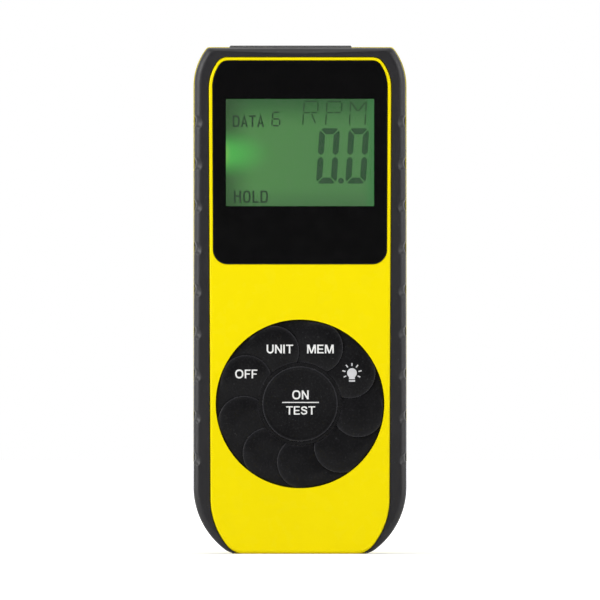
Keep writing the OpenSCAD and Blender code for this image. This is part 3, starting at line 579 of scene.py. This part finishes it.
def front_shell():
    face = shrink(FACE, SEAM_LINE, 0)
    rings = [at_y(whole(shrink(face, edge_inset(d, FACE_EDGE), edge_inset(d, FACE_LOW_EDGE))),
                  Y_FRONT + d) for d in edge_depths(FACE_LOW_EDGE)]
    body = loft(rings + [at_y(whole(face), Y_STEP + OVER)])
    cut(body, slab(whole(CASE), Y_STEP + SEAM, Y_SPLIT), "UNION")
    cut(body, slab(whole(shrink(CASE, WALL, WALL)), Y_INSIDE, Y_SPLIT + OVER))
    ribs = [block((x - RIB_HALF, Y_INSIDE - OVER / 2, z),
                  (x + RIB_HALF, Y_SPLIT - SEAM, z + BOSS_D / 2 + OVER))
            for x, z in BOSSES if z > KEYPAD_Z]
    cut(body, joined(ribs), "UNION")
    bosses = [rod(x, z, Y_INSIDE - OVER, Y_SPLIT - SEAM, BOSS_D) for x, z in BOSSES]
    cut(body, joined(bosses), "UNION")
    cut(body, slab(window_outline(WINDOW_GAP), Y_FRONT - OVER,
                   Y_FRONT + WINDOW_DROP + WINDOW_T + SEAM))
    cut(body, wide_block(VIEW_HALF + VIEW_GAP, Y_FRONT, Y_INSIDE + OVER, VIEW_LOW - VIEW_GAP,
                         VIEW_HIGH + VIEW_GAP))
    cut(body, rod(0, KEYPAD_Z, Y_FRONT - OVER, Y_INSIDE + OVER, 2 * HOLE_R, 160))
    cut(body, joined([post(LASER_X, AXIS_Y, BORE_LOW, BORE_HIGH, LASER_BORE),
                      post(RECEIVER_X, AXIS_Y, BORE_LOW, BORE_HIGH, RECEIVER_BORE)]))
    finished(body, "front_shell", "case", yellow, ["front_case"], bevel=0.1)


# Rear half of the case and the battery door

def rear_loft():
    rings = [at_y(whole(narrow(REAR, edge_inset(d, BACK_EDGE), edge_inset(d, END_EDGE))),
                  Y_BACK - d) for d in reversed(edge_depths(BACK_EDGE, 12))]
    return loft([at_y(whole(REAR), Y_SPLIT + SEAM)] + rings)


def door_room(gap, low_by=0.0):
    """The door's plate and its two side tongues, larger by a gap."""
    middle = Y_BACK - (Y_BACK - Y_REAR_INSIDE) / 2
    low, high = DOOR_LOW - gap - low_by, DOOR_TOP + gap
    room = wide_block(DOOR_HALF + gap, Y_REAR_INSIDE - gap / 2, Y_BACK + OVER, low, high)
    tongues = wide_block(DOOR_HALF + TONGUE_W + gap, middle - TONGUE_T / 2 - gap,
                         middle + TONGUE_T / 2 + gap, low, high)
    return cut(room, tongues, "UNION")


def rear_shell():
    body = rear_loft()
    edge = 0.8 * BACK_EDGE
    cut(body, slab(whole(shrink(REAR, WALL, WALL)), Y_SPLIT - OVER, Y_BACK - edge))
    cut(body, slab(whole(shrink(REAR, edge, 1.5 * WALL)), Y_SPLIT - OVER, Y_REAR_INSIDE))
    half, back = BAY_HALF + BAY_WALL, Y_REAR_INSIDE + SEAM
    cut(body, wide_block(half, BAY_FRONT - BAY_WALL, back, BAY_LOW - BAY_WALL, DOOR_TOP + BAY_WALL),
        "UNION")
    cut(body, wide_block(half, Y_REAR_INSIDE - BAY_WALL, back, WALL / 2, BAY_LOW), "UNION")
    posts = [rod(x, z, Y_SPLIT + SEAM, back, POST_D) for x, z in BOSSES]
    cut(body, joined(posts), "UNION")
    cut(body, wide_block(BAY_HALF, BAY_FRONT, Y_BACK + OVER, BAY_LOW, BAY_TOP))
    cut(body, door_room(DOOR_GAP * 0.6, OVER))
    cut(body, joined([rod(x, z, HEAD_Y, Y_BACK + OVER, HEAD_D + HEAD_GAP) for x, z in BOSSES]))
    finished(body, "rear_shell", "case", yellow, ["rear_case"], bevel=0.12)


def battery_cover():
    body = rear_loft()
    cut(body, door_room(0), "INTERSECT")
    grooves = []
    for i in range(FINGER_GROOVES):
        rim = circle(Y_BACK + FINGER_OUT, DOOR_TOP - FINGER_DROP + FINGER_PITCH * i, FINGER_R, 24)
        grooves.append(loft([[(x, y, z) for y, z in rim]
                             for x in (-DOOR_HALF / 2, DOOR_HALF / 2)]))
    cut(body, joined(grooves))
    finished(body, "battery_cover", "battery_cover", yellow, ["battery_door"],
             bevel=0.1)


# Grip band

def stations(o, sides):
    """Points and outward directions along the right half of an outline, from tip to top."""
    found = []

    def along(x, z, r, turns):
        for a in np.radians(turns):
            found.append(((x + r * cos(a), z + r * sin(a)), polar(1, a)))

    x, soft_x, turn = low_turn(o)
    tip = -90 + (turn + 90) * TIP_SHARE
    along(soft_x, o.foot + o.low_soft, o.low_soft, np.linspace(tip, turn, 12)[:-1])
    along(x, o.low_z, o.low_r, np.linspace(turn, 0, 41))
    lean = atan2(o.low - o.high, o.high_z - o.low_z)
    for s in sides:
        found.append(((o.low + (o.high - o.low) * s, o.low_z + (o.high_z - o.low_z) * s),
                      polar(1, lean)))
    x, soft_x, turn = high_turn(o)
    along(x, o.high_z, o.high_r, np.linspace(0, turn, 33))
    along(soft_x, o.head - o.high_soft, o.high_soft, np.linspace(turn, 90, 12)[1:])
    for s in np.linspace(1, 0, 9)[1:]:
        found.append(((soft_x * s, o.head), (0, 1)))
    return found


def groove_sink(z, along):
    """Depth of the grooves at a height, and at a length round the band's front edge from the start
    of its rounding; each groove is a slot with a round end at the front and a steep one behind."""
    offset = min(abs(z - g) for g in GROOVES)
    r = GROOVE_H / 2
    front, back = BAND_EDGE * pi / 2 - r + GROOVE_START, BAND_EDGE - GROOVE_RUN + r
    reach = hypot(offset, max(0, along - front, STEEP * (back - along)))
    return GROOVE_DEPTH * smooth((r + 0.25 - reach) / 1.4)


def band_section(p, n, q, c):
    """One section through the band, as (x, z, y): the outer wall at p, whose outward direction is
    n, the rounding, the flat front up to the face's edge q, and back over the case's edge c."""
    low, high = BAND.low_z, BAND.high_z
    p, n, q, c = (np.array(v) for v in (p, n, q, c))
    grooved = n[0] > 0.995 and low < p[1] < high
    c = c if c[0] > q[0] or p[1] > low else q
    width = dist(p, q)
    inward = (q - p) / width
    reach = min(BAND_EDGE, max(0.05, width - 0.3))

    def sink(along):
        return groove_sink(p[1], along) if grooved else 0.0

    foot = Y_BAND + GROOVE_RUN - GROOVE_H / 2
    wall_ys = [Y_SPLIT - SEAM, 1.0, -2.0, -4.2]
    wall_ys += list(np.arange(foot + 0.45, foot - 0.1, -0.05))
    wall_ys += [foot - 0.3, -8.5, -10.5, -12.5]
    ring = [(*(p - n * sink(Y_BAND + BAND_EDGE - y)), y) for y in wall_ys]
    for t in np.radians(np.linspace(0, 90, 19)):
        s = sink(BAND_EDGE * t)
        place = p + inward * reach * (1 - cos(t)) - n * s * cos(t)
        ring.append((*place, Y_BAND + BAND_EDGE * (1 - sin(t)) + s * sin(t)))
    start = p + inward * reach
    gap = dist(q, start)
    for s in (0.15, 0.35, 0.7):
        ring.append((*(start + (q - start) * s), Y_BAND + sink(BAND_EDGE * pi / 2 + gap * s)))
    soft = min(0.3, gap * 0.3)
    back = (start - q) / max(gap, 1e-6)
    for t in np.radians((0, 30, 60, 90)):
        ring.append((*(q + back * soft * (1 - sin(t))), Y_BAND + soft * (1 - cos(t))))
    return ring + [(*q, Y_STEP), (*c, Y_STEP + 0.01), (*c, Y_SPLIT - SEAM)]


def grip():
    low, high = BAND.low_z, BAND.high_z
    near = [0.4, 0.75, 1.0, 1.2, 1.4, 1.6, 1.8, 2.0, 2.6]
    heights = [low + 1.5, low + 4]
    for g in GROOVES:
        heights += [g + d for d in [-d for d in reversed(near)] + [0] + near + [4.4, 6.4, 8.2]]
    sides = [(h - low) / (high - low) for h in heights if h < high - 1]
    outlines = BAND, shrink(FACE, -SEAM, 0), shrink(CASE, -SEAM, 0)
    sections = []
    for (p, n), (q, _), (c, _) in zip(*(stations(o, sides) for o in outlines)):
        sections.append([(x, y, z) for x, z, y in band_section(p, n, q, c)])
    left = [[(-x, y, z) for x, y, z in ring] for ring in reversed(sections[:-1])]
    body = loft(sections + left)
    (x0, y0, z0), (x1, y1, z1) = BEAM
    cut(body, block((x0 - SEAM, y0 - SEAM, z0 - OVER), (x1 + SEAM, y1 + SEAM, z1 + OVER)))
    finished(body, "grip_skin", "case", rubber, ["grip_band"], sharp=50)


# Window, display and top window

def display_pane():
    front, back = Y_FRONT + WINDOW_DROP, Y_FRONT + WINDOW_DROP + WINDOW_T
    rings = [at_y(window_outline(-SEAM - edge_inset(d, WINDOW_EDGE)), front + d)
             for d in edge_depths(WINDOW_EDGE, 4)]
    body = loft(rings + [at_y(window_outline(-SEAM), back)])
    cut(body, wide_block(VIEW_HALF, Y_FRONT - OVER, Y_INSIDE, VIEW_LOW, VIEW_HIGH))
    finished(body, "window_surround", "case", black_gloss, ["display_window"],
             sharp=50)
    pane = wide_block(VIEW_HALF + PANE_OVER, front + PANE_SINK, back, VIEW_LOW - PANE_OVER,
                      VIEW_HIGH + PANE_OVER)
    finished(pane, "window_pane", "case", clear, bevel=0.12)


def top_window():
    finished(block(*BEAM), "top_window", "case", smoke, ["beam_window"],
             bevel=0.35)


# Marks: flat shapes drawn from lines and polygons

def at(px, py):
    """A place of the photograph, in pixels, on the front of the model, as (x, z)."""
    return (px - PHOTO_MIDDLE) * PIXEL, (PHOTO_FOOT - py) * PIXEL


def ribbon(path, width, closed=False):
    """Quads of a line of one width along a path."""
    path = [np.array(p, float) for p in path]
    n = len(path)
    edges = []
    for i, p in enumerate(path):
        before = path[i - 1] if closed or i else None
        after = path[(i + 1) % n] if closed or i < n - 1 else None
        d0 = (p - before) if before is not None else (after - p)
        d1 = (after - p) if after is not None else d0
        n0, n1 = (np.array((-d[1], d[0])) / np.linalg.norm(d) for d in (d0, d1))
        m = n0 + n1
        m = m / np.linalg.norm(m)
        m = m * width / 2 / max(0.4, float(m @ n1))
        edges.append((p + m, p - m))
    pairs = [(i, (i + 1) % n) for i in range(n if closed else n - 1)]
    return [[edges[a][0], edges[a][1], edges[b][1], edges[b][0]] for a, b in pairs]


def curve(points):
    """Smooth path through points."""
    p = [np.array(q, float) for q in [points[0]] + points + [points[-1]]]
    found = []
    for a, b, c, d in zip(p, p[1:], p[2:], p[3:]):
        for t in np.linspace(0, 1, 6, endpoint=False):
            found.append(0.5 * (2 * b + (c - a) * t + (2 * a - 5 * b + 4 * c - d) * t * t
                                + (3 * b - a - 3 * c + d) * t ** 3))
    return found + [p[-1]]


def oval(cx, cz, rx, rz, square=2.4):
    """A ring between an ellipse, at square 2, and a rectangle."""
    found = []
    for a in around(40):
        c, s = polar(1, a)
        found.append((cx + rx * copysign(abs(c) ** (2 / square), c),
                      cz + rz * copysign(abs(s) ** (2 / square), s)))
    return found


# Letters: the width and polygons of each capital, one unit high

STEM, BAR = 0.178, 0.145
BOLD = {
    "O": (0.98, ribbon(oval(0.49, 0.5, 0.385, 0.425), STEM, closed=True)),
    "F": (0.66, [bar(0, 0, STEM, 1), bar(STEM, 1 - BAR, 0.66, 1),
                 bar(STEM, 0.42, 0.58, 0.42 + BAR)]),
    "E": (0.72, [bar(0, 0, STEM, 1), bar(STEM, 1 - BAR, 0.70, 1),
                 bar(STEM, 0.42, 0.65, 0.42 + BAR), bar(STEM, 0, 0.72, BAR)]),
    "I": (STEM, [bar(0, 0, STEM, 1)]),
    "T": (0.80, [bar(0, 1 - BAR, 0.80, 1), bar(0.4 - STEM / 2, 0, 0.4 + STEM / 2, 1 - BAR)]),
    "N": (0.80, [bar(0, 0, STEM, 1), bar(0.80 - STEM, 0, 0.80, 1),
                 [(STEM, 1), (STEM * 0.9, 0.72), (0.80 - STEM, 0), (0.80 - STEM * 0.9, 0.28)]]),
    "M": (0.98, [bar(0, 0, 0.16, 1), bar(0.82, 0, 0.98, 1),
                 [(0.16, 1), (0.155, 0.66), (0.41, 0), (0.49, 0), (0.51, 0.16), (0.25, 1)],
                 [(0.82, 1), (0.73, 1), (0.47, 0.16), (0.49, 0), (0.57, 0), (0.825, 0.66)]]),
    "U": (0.80, ribbon([(STEM / 2, 1)] + arc(0.40, 0.385, 0.40 - STEM / 2, 180, 360, 14)
                       + [(0.80 - STEM / 2, 1)], STEM)),
    "S": (0.78, ribbon(curve([(0.68, 0.70), (0.60, 0.865), (0.39, 0.915), (0.17, 0.84),
                              (0.125, 0.70), (0.22, 0.585), (0.44, 0.515), (0.635, 0.42),
                              (0.675, 0.27), (0.58, 0.13), (0.37, 0.085), (0.17, 0.135),
                              (0.085, 0.31)]), BAR + 0.02)),
}

THIN = 0.145
HALF = THIN / 2
NARROW = {
    "D": (0.58, ribbon([(HALF, HALF), (HALF, 1 - HALF), (0.30, 1 - HALF), (0.45, 0.90),
                        (0.52, 0.70), (0.52, 0.30), (0.45, 0.10), (0.30, HALF)], THIN,
                       closed=True)),
    "A": (0.60, ribbon([(HALF, 0), (0.30, 1 - HALF), (0.60 - HALF, 0)], THIN)
          + ribbon([(0.14, 0.31), (0.46, 0.31)], THIN * 0.9)),
    "T": (0.56, [bar(0, 1 - THIN, 0.56, 1), bar(0.28 - HALF, 0, 0.28 + HALF, 1 - THIN)]),
    "H": (0.58, [bar(0, 0, THIN, 1), bar(0.58 - THIN, 0, 0.58, 1),
                 bar(THIN, 0.48, 0.58 - THIN, 0.48 + THIN * 0.9)]),
    "O": (0.60, ribbon(oval(0.30, 0.5, 0.30 - HALF, 0.5 - HALF, 2.8), THIN, closed=True)),
    "L": (0.48, [bar(0, 0, THIN, 1), bar(THIN, 0, 0.48, THIN)]),
}


def word(text, letters, box, gap):
    """Polygons of a word that fills a box of the photograph's pixels (x0, y0, x1, y1)."""
    shapes, x = [], 0.0
    for c in text:
        width, polygons = letters[c]
        shapes += [[(px + x, pz) for px, pz in polygon] for polygon in polygons]
        x += width + gap
    x -= gap
    (x0, z1), (x1, z0) = at(*box[:2]), at(*box[2:])
    return [[(x0 + px / x * (x1 - x0), z0 + pz * (z1 - z0)) for px, pz in shape]
            for shape in shapes]


def finer(polygon):
    """Adds points along a polygon's long edges."""
    found = []
    for i, p in enumerate(polygon):
        q = polygon[(i + 1) % len(polygon)]
        steps = max(1, int(dist(p, q) / 0.35))
        found += [(p[0] + (q[0] - p[0]) * j / steps, p[1] + (q[1] - p[1]) * j / steps)
                  for j in range(steps)]
    return found


def marks(shapes, height, name, body, material):
    """Thin printed shapes; height gives the Y of the surface under (x, z)."""
    points, faces = [], []
    for polygon in shapes:
        start = len(points)
        points += [(x, height(x, z), z) for x, z in polygon]
        faces.append(tuple(range(start, len(points))))
    mesh = bpy.data.meshes.new(name)
    mesh.from_pydata(points, [], faces)
    shape = bmesh.new()
    shape.from_mesh(mesh)
    bmesh.ops.triangulate(shape, faces=shape.faces)
    for face in shape.faces:
        if face.normal.y > 0:
            face.normal_flip()
    shape.to_mesh(mesh)
    shape.free()
    finished(placed(name, mesh), name, body, material, weighted=False)


# What the display shows

def digit_zero(x, y, w, h, t, slant):
    """Six thick segments of a leaning nought with its lower left corner at pixel (x, y)."""
    g = 0.45
    m = h / 2
    top = [(3.4, h), (w - 3.4, h), (w - 2.1, h - 1.2), (w - t - g, h - t), (t + g, h - t),
           (2.1, h - 1.2)]
    side = [(0, h - 4.4), (1.2, h - 2.1), (t - g * 0.4, h - t - g * 1.6), (t, h - t - 2.2),
            (t, m + 3.4), (t / 2, m + g + 0.3), (0, m + 3.6)]

    def below(part):
        return [(px, h - py) for px, py in part[:1] + part[:0:-1]]

    sides = [side, below(side)]
    shapes = [top, below(top)] + sides + [[(w - px, py) for px, py in part] for part in sides]
    return [[at(x + px + slant * py / h, y - py) for px, py in s] for s in shapes]


def display_marks():
    digits = digit_zero(315.9, 183.7, 20.6, 55.3, 6.0, 3.6)
    digits += digit_zero(345.1, 183.7, 20.6, 55.3, 6.0, 3.6)
    digits.append(circle(*at(341.0, 180.9), 2.9 * PIXEL, 24))
    words = word("DATA", NARROW, (232.7, 115.4, 264.2, 127.2), 0.11)
    words += word("HOLD", NARROW, (233.8, 190.6, 267.9, 203.0), 0.14)
    # Strokes of the figure six and of RPM, as the pixels (x0, y0, x1, y1) of their ends
    six = [
        (273.6, 112.3, 279.2, 112.3), (272.9, 113.2, 272.5, 118.4), (273.4, 119.1, 279.0, 119.1),
        (272.3, 119.9, 271.9, 125.1), (272.8, 125.9, 278.6, 125.9), (279.9, 120.0, 279.6, 125.1),
    ]
    rpm = [
        (305.0, 101.6, 317.2, 101.6), (304.2, 102.8, 303.6, 111.6), (318.2, 102.8, 317.7, 111.2),
        (304.2, 112.7, 309.6, 112.7), (311.4, 112.7, 316.9, 112.7), (303.3, 114.2, 302.8, 124.8),
        (311.6, 114.0, 315.4, 123.4), (328.0, 101.6, 341.0, 101.6), (327.0, 102.8, 326.5, 111.6),
        (342.0, 102.8, 341.5, 111.2), (327.3, 112.7, 332.9, 112.7), (334.7, 112.7, 340.6, 112.7),
        (326.2, 114.2, 325.7, 124.8), (350.6, 101.8, 350.1, 111.6), (366.3, 101.8, 365.8, 111.6),
        (351.6, 102.6, 357.3, 111.2), (365.2, 102.6, 358.4, 111.2), (349.9, 114.2, 349.4, 124.8),
        (365.6, 114.2, 365.0, 124.8),
    ]

    def strokes(table, width):
        return [quad for x0, y0, x1, y1 in table
                for quad in ribbon([at(x0, y0), at(x1, y1)], width * PIXEL)]

    for name, shapes, material in (("display_digits", digits, segment_dark),
                                   ("display_words", words + strokes(six, 1.45), segment_word),
                                   ("display_unit", strokes(rpm, 1.35), segment_faint)):
        marks(shapes, lambda x, z: Y_LCD - INK_LIFT, name, "case", material)


# Keypad: nine petals that overlap like scales about the middle key

def crossing(radius, r):
    return -acos((radius ** 2 - PETAL_C ** 2 - r * r) / (2 * PETAL_C * r))


def bearing(cross, r):
    return atan2(r * sin(cross), PETAL_C + r * cos(cross))


def round_off(distance, r):
    """Depth of a rounded edge of radius r at a distance from it."""
    d = min(max(distance, 0), r)
    return r - sqrt(max(0, r * r - (r - d) ** 2))


def fall(distance, reach, drop):
    """A gentle fall toward an edge, as a parabola of the given reach."""
    return drop * max(0.0, 1 - max(0.0, distance) / reach) ** 2


def lip_turn(turn):
    """Where a petal's lip lies, in radians: a few lips lie off the even spacing."""
    return radians(turn + LIP_SHIFTS.get(turn % 360, 0))


def petal_depth(x, z, turn, r0, r1):
    """Depth of a petal's surface below the keypad's highest level; x and z from its middle. The
    petal is a low dome that slips under the next one."""
    a, b = lip_turn(turn), lip_turn(turn + PETAL_PITCH)
    own = r0 - dist((x, z), polar(PETAL_C, a))
    beyond = dist((x, z), polar(PETAL_C, b)) - r1
    r = hypot(x, z)
    depth = fall(own, 3.6, 0.34) + fall(r - PETAL_IN + 0.1, 3.4, 0.26)
    depth += fall(PETAL_OUT - r, 4.2, 0.5) + fall(beyond, 6.5, 0.5)
    depth += round_off(own, 0.16) + round_off(beyond, 0.03)
    return depth + round_off(r - PETAL_IN + 0.07, 0.1) + round_off(PETAL_OUT + 0.04 - r, 0.3)


def paint_lip_shine(piece):
    """Marks the lips of the petals and the rim of the middle key for a painted highlight: a narrow
    pale line where these edges catch the light, with a softer glow beside the petals' lips.
    """
    layer = piece.data.attributes.new("painted_shine", "FLOAT", "POINT")
    for i, v in enumerate(piece.data.vertices):
        x, y, z = v.co.x, v.co.y, v.co.z - KEYPAD_Z
        r = hypot(x, z)
        painted_shine = 0.0
        if y < Y_HEAD and r > PETAL_IN - 0.1:
            for turn in [*KEY_TURNS.values(), *BLANK_TURNS]:
                a = lip_turn(turn)
                cx, cz = polar(PETAL_C, a)
                px, pz = x - cx, z - cz
                clockwise = px * sin(a) - pz * cos(a) > 0
                own = PETAL_R - KEY_GAP / 2 - hypot(px, pz)
                if clockwise and own > -0.03:
                    # painted highlight on the lit lip: a narrow pale line and a softer glow beside
                    # it
                    painted_shine = max(painted_shine, 0.62 * exp(-(own / 0.2) ** 2)
                               + 0.15 * exp(-(own / 0.8) ** 2))
            painted_shine = max(painted_shine, 0.45 * exp(-((r - PETAL_IN) / 0.2) ** 2))
        elif y < Y_HEAD and r < RING_IN - 0.035:
            painted_shine = 0.7 * exp(-((r - MIDDLE_R) / 0.16) ** 2)
        layer.data[i].value = painted_shine


def petal_solid(turn, gap, y_back):
    """One petal: its curved front, a wall round it and a flat back."""
    r0, r1 = PETAL_R - gap / 2, PETAL_R + gap / 2
    inner, outer = PETAL_IN - 0.07, PETAL_OUT + 0.04
    radii = [inner + d for d in (0, 0.015, 0.04, 0.07, 0.11, 0.2, 0.45, 0.9)]
    radii += list(np.linspace(inner + 1.7, outer - 1.5, 22))
    radii += [outer - d for d in (1.0, 0.7, 0.5, 0.36, 0.24, 0.14, 0.06, 0)]
    u = np.linspace(0, 1, 44)
    shares = list((np.exp(3.4 * u) - 1) / (exp(3.4) - 1))[:-1] + [0.988, 0.996, 1.0]
    points = []
    for r in radii:
        start = lip_turn(turn) + bearing(crossing(r, r0), r0)
        end = lip_turn(turn + PETAL_PITCH) + bearing(crossing(r, r1), r1)
        for s in shares:
            a = start + (end - start) * s
            x, z = polar(r, a)
            points.append((x, Y_TOP + petal_depth(x, z, turn, r0, r1), z + KEYPAD_Z))
    n, m = len(radii), len(shares)
    faces = [(i * m + j, i * m + j + 1, (i + 1) * m + j + 1, (i + 1) * m + j)
             for i in range(n - 1) for j in range(m - 1)]
    border = (list(range(m)) + [i * m + m - 1 for i in range(1, n)]
              + [(n - 1) * m + j for j in range(m - 2, -1, -1)]
              + [i * m for i in range(n - 2, 0, -1)])
    base, k = len(points), len(border)
    points += [(points[i][0], y_back, points[i][2]) for i in border]
    faces += [(border[i], border[(i + 1) % k], base + (i + 1) % k, base + i) for i in range(k)]
    faces.append(tuple(base + i for i in range(k)))
    return solid(points, faces)


def stem(x, z):
    """A key's stem with the collar that keeps it in the keypad."""
    r, c, y = STEM_D / 2, COLLAR_D / 2, Y_SHEET + SEAM
    return lathe(x, z, [
        (0.01, Y_HEAD - 0.3), (r, Y_HEAD - 0.3), (r, y), (c - 0.1, y), (c, y + 0.1),
        (c, y + COLLAR_T - 0.1), (c - 0.1, y + COLLAR_T), (r, y + COLLAR_T), (r, Y_PILL - 0.3),
        (0.01, Y_PILL - 0.3)], 40)


def stem_place(turn):
    x, z = polar(STEM_C, radians(turn - STEM_OFF))
    return x, KEYPAD_Z + z


def middle_depth(r):
    """Depth of the middle key's dish and lip below the keypad's highest level."""
    dish = 0.18 * (1 - smooth(r / 10.0))
    lip = 0.08 * smooth((r - 9.5) / 0.5)
    return 0.08 + dish - lip + round_off(MIDDLE_R + 0.15 - r, 0.2)


def middle_key_solid():
    edge = MIDDLE_R + 0.15
    radii = [0.01] + list(np.linspace(1, 9.0, 12)) + [9.2, 9.35, 9.5, 9.65, 9.8, 9.95, 10.1]
    radii += [edge - d for d in (0.36, 0.3, 0.25, 0.2, 0.15, 0.1, 0.05, 0.02, 0)]
    profile = [(r, Y_TOP + middle_depth(r)) for r in radii] + [(edge, Y_HEAD), (0.01, Y_HEAD)]
    return lathe(0, KEYPAD_Z, profile, 160)


def ring_solid():
    """The fixed ring between the middle key and the petals."""
    inner, outer, sides = RING_IN - 0.02, RING_OUT + 0.1, 160
    rounded = [(0, 0.12), (0.01, 0.07), (0.035, 0.035), (0.07, 0.01), (0.12, 0)]
    profile = [(inner + d, RING_TOP + y) for d, y in rounded]
    profile += [(outer - d, RING_TOP + y) for d, y in reversed(rounded)]
    profile += [(outer, Y_SHEET), (inner, Y_SHEET)]
    points = [(r * cos(a), y, KEYPAD_Z + r * sin(a))
              for a in around(sides) for r, y in profile]
    return solid(points, wall(sides, len(profile), sides))


def keypad_pieces():
    base = rod(0, KEYPAD_Z, Y_FLOOR, Y_SHEET, 2 * KEYPAD_R, 160)
    cut(base, rod(0, KEYPAD_Z, Y_INSIDE + SEAM, Y_BOARD - SEAM, 2 * FLANGE_R, 160), "UNION")
    cut(base, rod(0, KEYPAD_Z, Y_SHEET, Y_BOARD, 2 * SKIRT_R, 160))
    places = [(0, KEYPAD_Z)] + [stem_place(t) for t in KEY_TURNS.values()]
    cut(base, joined([rod(x, z, Y_FLOOR - OVER, Y_SHEET + OVER, STEM_D + STEM_GAP, 48)
                      for x, z in places]))
    blanks = [petal_solid(t, BLANK_GAP, Y_FLOOR + 0.3) for t in BLANK_TURNS]
    body = joined([base, ring_solid()] + blanks)
    finished(body, "keypad_sheet", "case", key_rubber, ["keypad"], sharp=55)
    heads = {key: (petal_solid(turn, KEY_GAP, Y_HEAD), stem(*stem_place(turn)))
             for key, turn in KEY_TURNS.items()}
    heads["on_test"] = middle_key_solid(), stem(0, KEYPAD_Z)
    for key, parts in heads.items():
        finished(joined(parts), key + "_cap", key + "_button", key_rubber,
                 [key + "_key"], sharp=55)


def key_marks():
    y = Y_TOP - INK_LIFT

    def on_petal(turn):
        return lambda x, z: y + petal_depth(x, z - KEYPAD_Z, turn, PETAL_R - KEY_GAP / 2,
                                            PETAL_R + KEY_GAP / 2)

    def on_middle(x, z):
        return y + middle_depth(hypot(x, z - KEYPAD_Z))

    def on_key(shapes, height, name, key, material):
        marks([finer(s) for s in shapes], height, name, key + "_button", material)

    for key, text, box, gap in (("off", "OFF", (235.1, 369.5, 257.4, 378.2), 0.13),
                                ("unit", "UNIT", (266.7, 344.6, 293.1, 353.3), 0.14),
                                ("memory", "MEM", (307.1, 344.6, 333.7, 353.3), 0.14)):
        on_key(word(text, BOLD, box, gap), on_petal(KEY_TURNS[key]), key + "_word", key, ink)
    shapes = word("ON", BOLD, (292.1, 390.2, 308.7, 399.2), 0.14)
    shapes += word("TEST", BOLD, (286.1, 406.1, 315.1, 414.5), 0.10)
    shapes.append(bar(*at(282.3, 402.8), *at(318.9, 401.8)))
    on_key(shapes, on_middle, "on_test_words", "on_test", ink)
    cx, cz = at(351.9, 373.0)
    bulb = arc(cx, cz, 4.85 * PIXEL, -54, 234, 36)
    bulb += [at(349.0, 378.0), at(348.9, 379.1), at(354.9, 379.1), at(354.8, 378.0)]
    shapes = [bulb, bar(*at(348.9, 381.6), *at(355.0, 380.1))]
    for turn, *ends in ((90, 7.1, 10.1), (54, 7.1, 10.1), (126, 7.1, 10.1), (14, 6.7, 9.9),
                        (166, 6.7, 9.9), (-26, 6.4, 9.2), (206, 6.4, 9.2)):
        c, s = polar(1, radians(turn))
        shapes += ribbon([(cx + c * r * PIXEL, cz + s * r * PIXEL) for r in ends], 1.25 * PIXEL)
    on_key(shapes, on_petal(KEY_TURNS["light"]), "light_mark", "light", ink_grey)


front_shell()
rear_shell()
battery_cover()
grip()
display_pane()
top_window()
display_marks()
keypad_pieces()
key_marks()


# Studio: pale floor, white surround, soft lamps, camera

FLOOR_HALF, FLOOR_DROP = 4.0, 0.00002
LAMP_AIM = Vector((0, 0, 0.07))
CAMERA_DISTANCE, SENSOR = 7.0, 36


def seen_as_background(behind):
    """1 for rays that see the pale background as such: from the camera, through glass, and from
    gloss where it looks past the object to what lies behind it."""
    path = node(behind.id_data, "LightPath").outputs
    straight = maths("MAXIMUM", path["Is Camera Ray"], path["Is Transmission Ray"])
    return maths("MAXIMUM", straight,
                 maths("MULTIPLY", path["Is Glossy Ray"], behind))


def pale_floor():
    s = FLOOR_HALF
    mesh = bpy.data.meshes.new("floor")
    mesh.from_pydata([(-s, -s, 0), (s, -s, 0), (s, s, 0), (-s, s, 0)], [], [(0, 1, 2, 3)])
    floor = placed("floor", mesh)
    floor.location.z = -FLOOR_DROP
    m = bpy.data.materials.new("floor_pale")
    tree = empty_tree(m)
    place = place_of(tree)
    distance = node(tree, "VectorMath", place)
    distance.operation = "LENGTH"
    behind = eased(axis(place, "Y"), 0.0, 0.3)
    glow = node(tree, "Emission", Strength=seen_as_background(behind),
                Color=eased(distance.outputs["Value"], 0.05, 0.6, 0.35, 0.85))
    diffuse = node(tree, "BsdfDiffuse", Color=(0.8, 0.8, 0.8))
    both = node(tree, "AddShader", diffuse.outputs[0], glow.outputs[0])
    node(tree, "OutputMaterial", both.outputs[0])
    mesh.materials.append(m)


def white_world():
    world = scene.world = bpy.data.worlds.new("studio")
    tree = empty_tree(world)
    y = axis(node(tree, "TexCoord").outputs["Generated"], "Y")
    behind = eased(y, -0.6, 0.3)
    dim, white = (node(tree, "Background", Color=(1, 1, 1), Strength=strength).outputs[0]
                  for strength in (eased(y, -0.6, 0.3, 0.03, 1.0), 1.0))
    sky = node(tree, "MixShader", seen_as_background(behind), dim, white)
    node(tree, "OutputWorld", sky.outputs[0])


def lamp(name, place, size, power):
    light = bpy.data.lights.new(name, "AREA")
    light.shape, light.size, light.size_y, light.energy = "RECTANGLE", *size, power
    holder = placed(name, light)
    holder.location = place
    holder.rotation_euler = (LAMP_AIM - Vector(place)).to_track_quat("-Z", "Y").to_euler()
    holder.visible_camera = False


def photo_camera():
    data = bpy.data.cameras.new("camera")
    data.sensor_width, data.lens = SENSOR, SENSOR * CAMERA_DISTANCE / (PHOTO_SIDE * PIXEL * MM)
    data.clip_start, data.clip_end = 0.1, 50
    scene.camera = placed("camera", data)
    scene.camera.location = (0, Y_BOARD * MM - CAMERA_DISTANCE,
                             (PHOTO_FOOT - PHOTO_SIDE / 2) * PIXEL * MM)
    scene.camera.rotation_euler = (pi / 2, 0, 0)


pale_floor()
white_world()
lamp("left_softbox", (-1.45, -0.75, 0.6), (1.3, 1.1), 19.8)
lamp("right_softbox", (1.45, -0.75, 0.45), (1.3, 1.4), 13.5)
lamp("top_softbox", (0, -0.9, 1.4), (1.4, 1.0), 7.45)
photo_camera()
scene.view_settings.view_transform = "Standard"
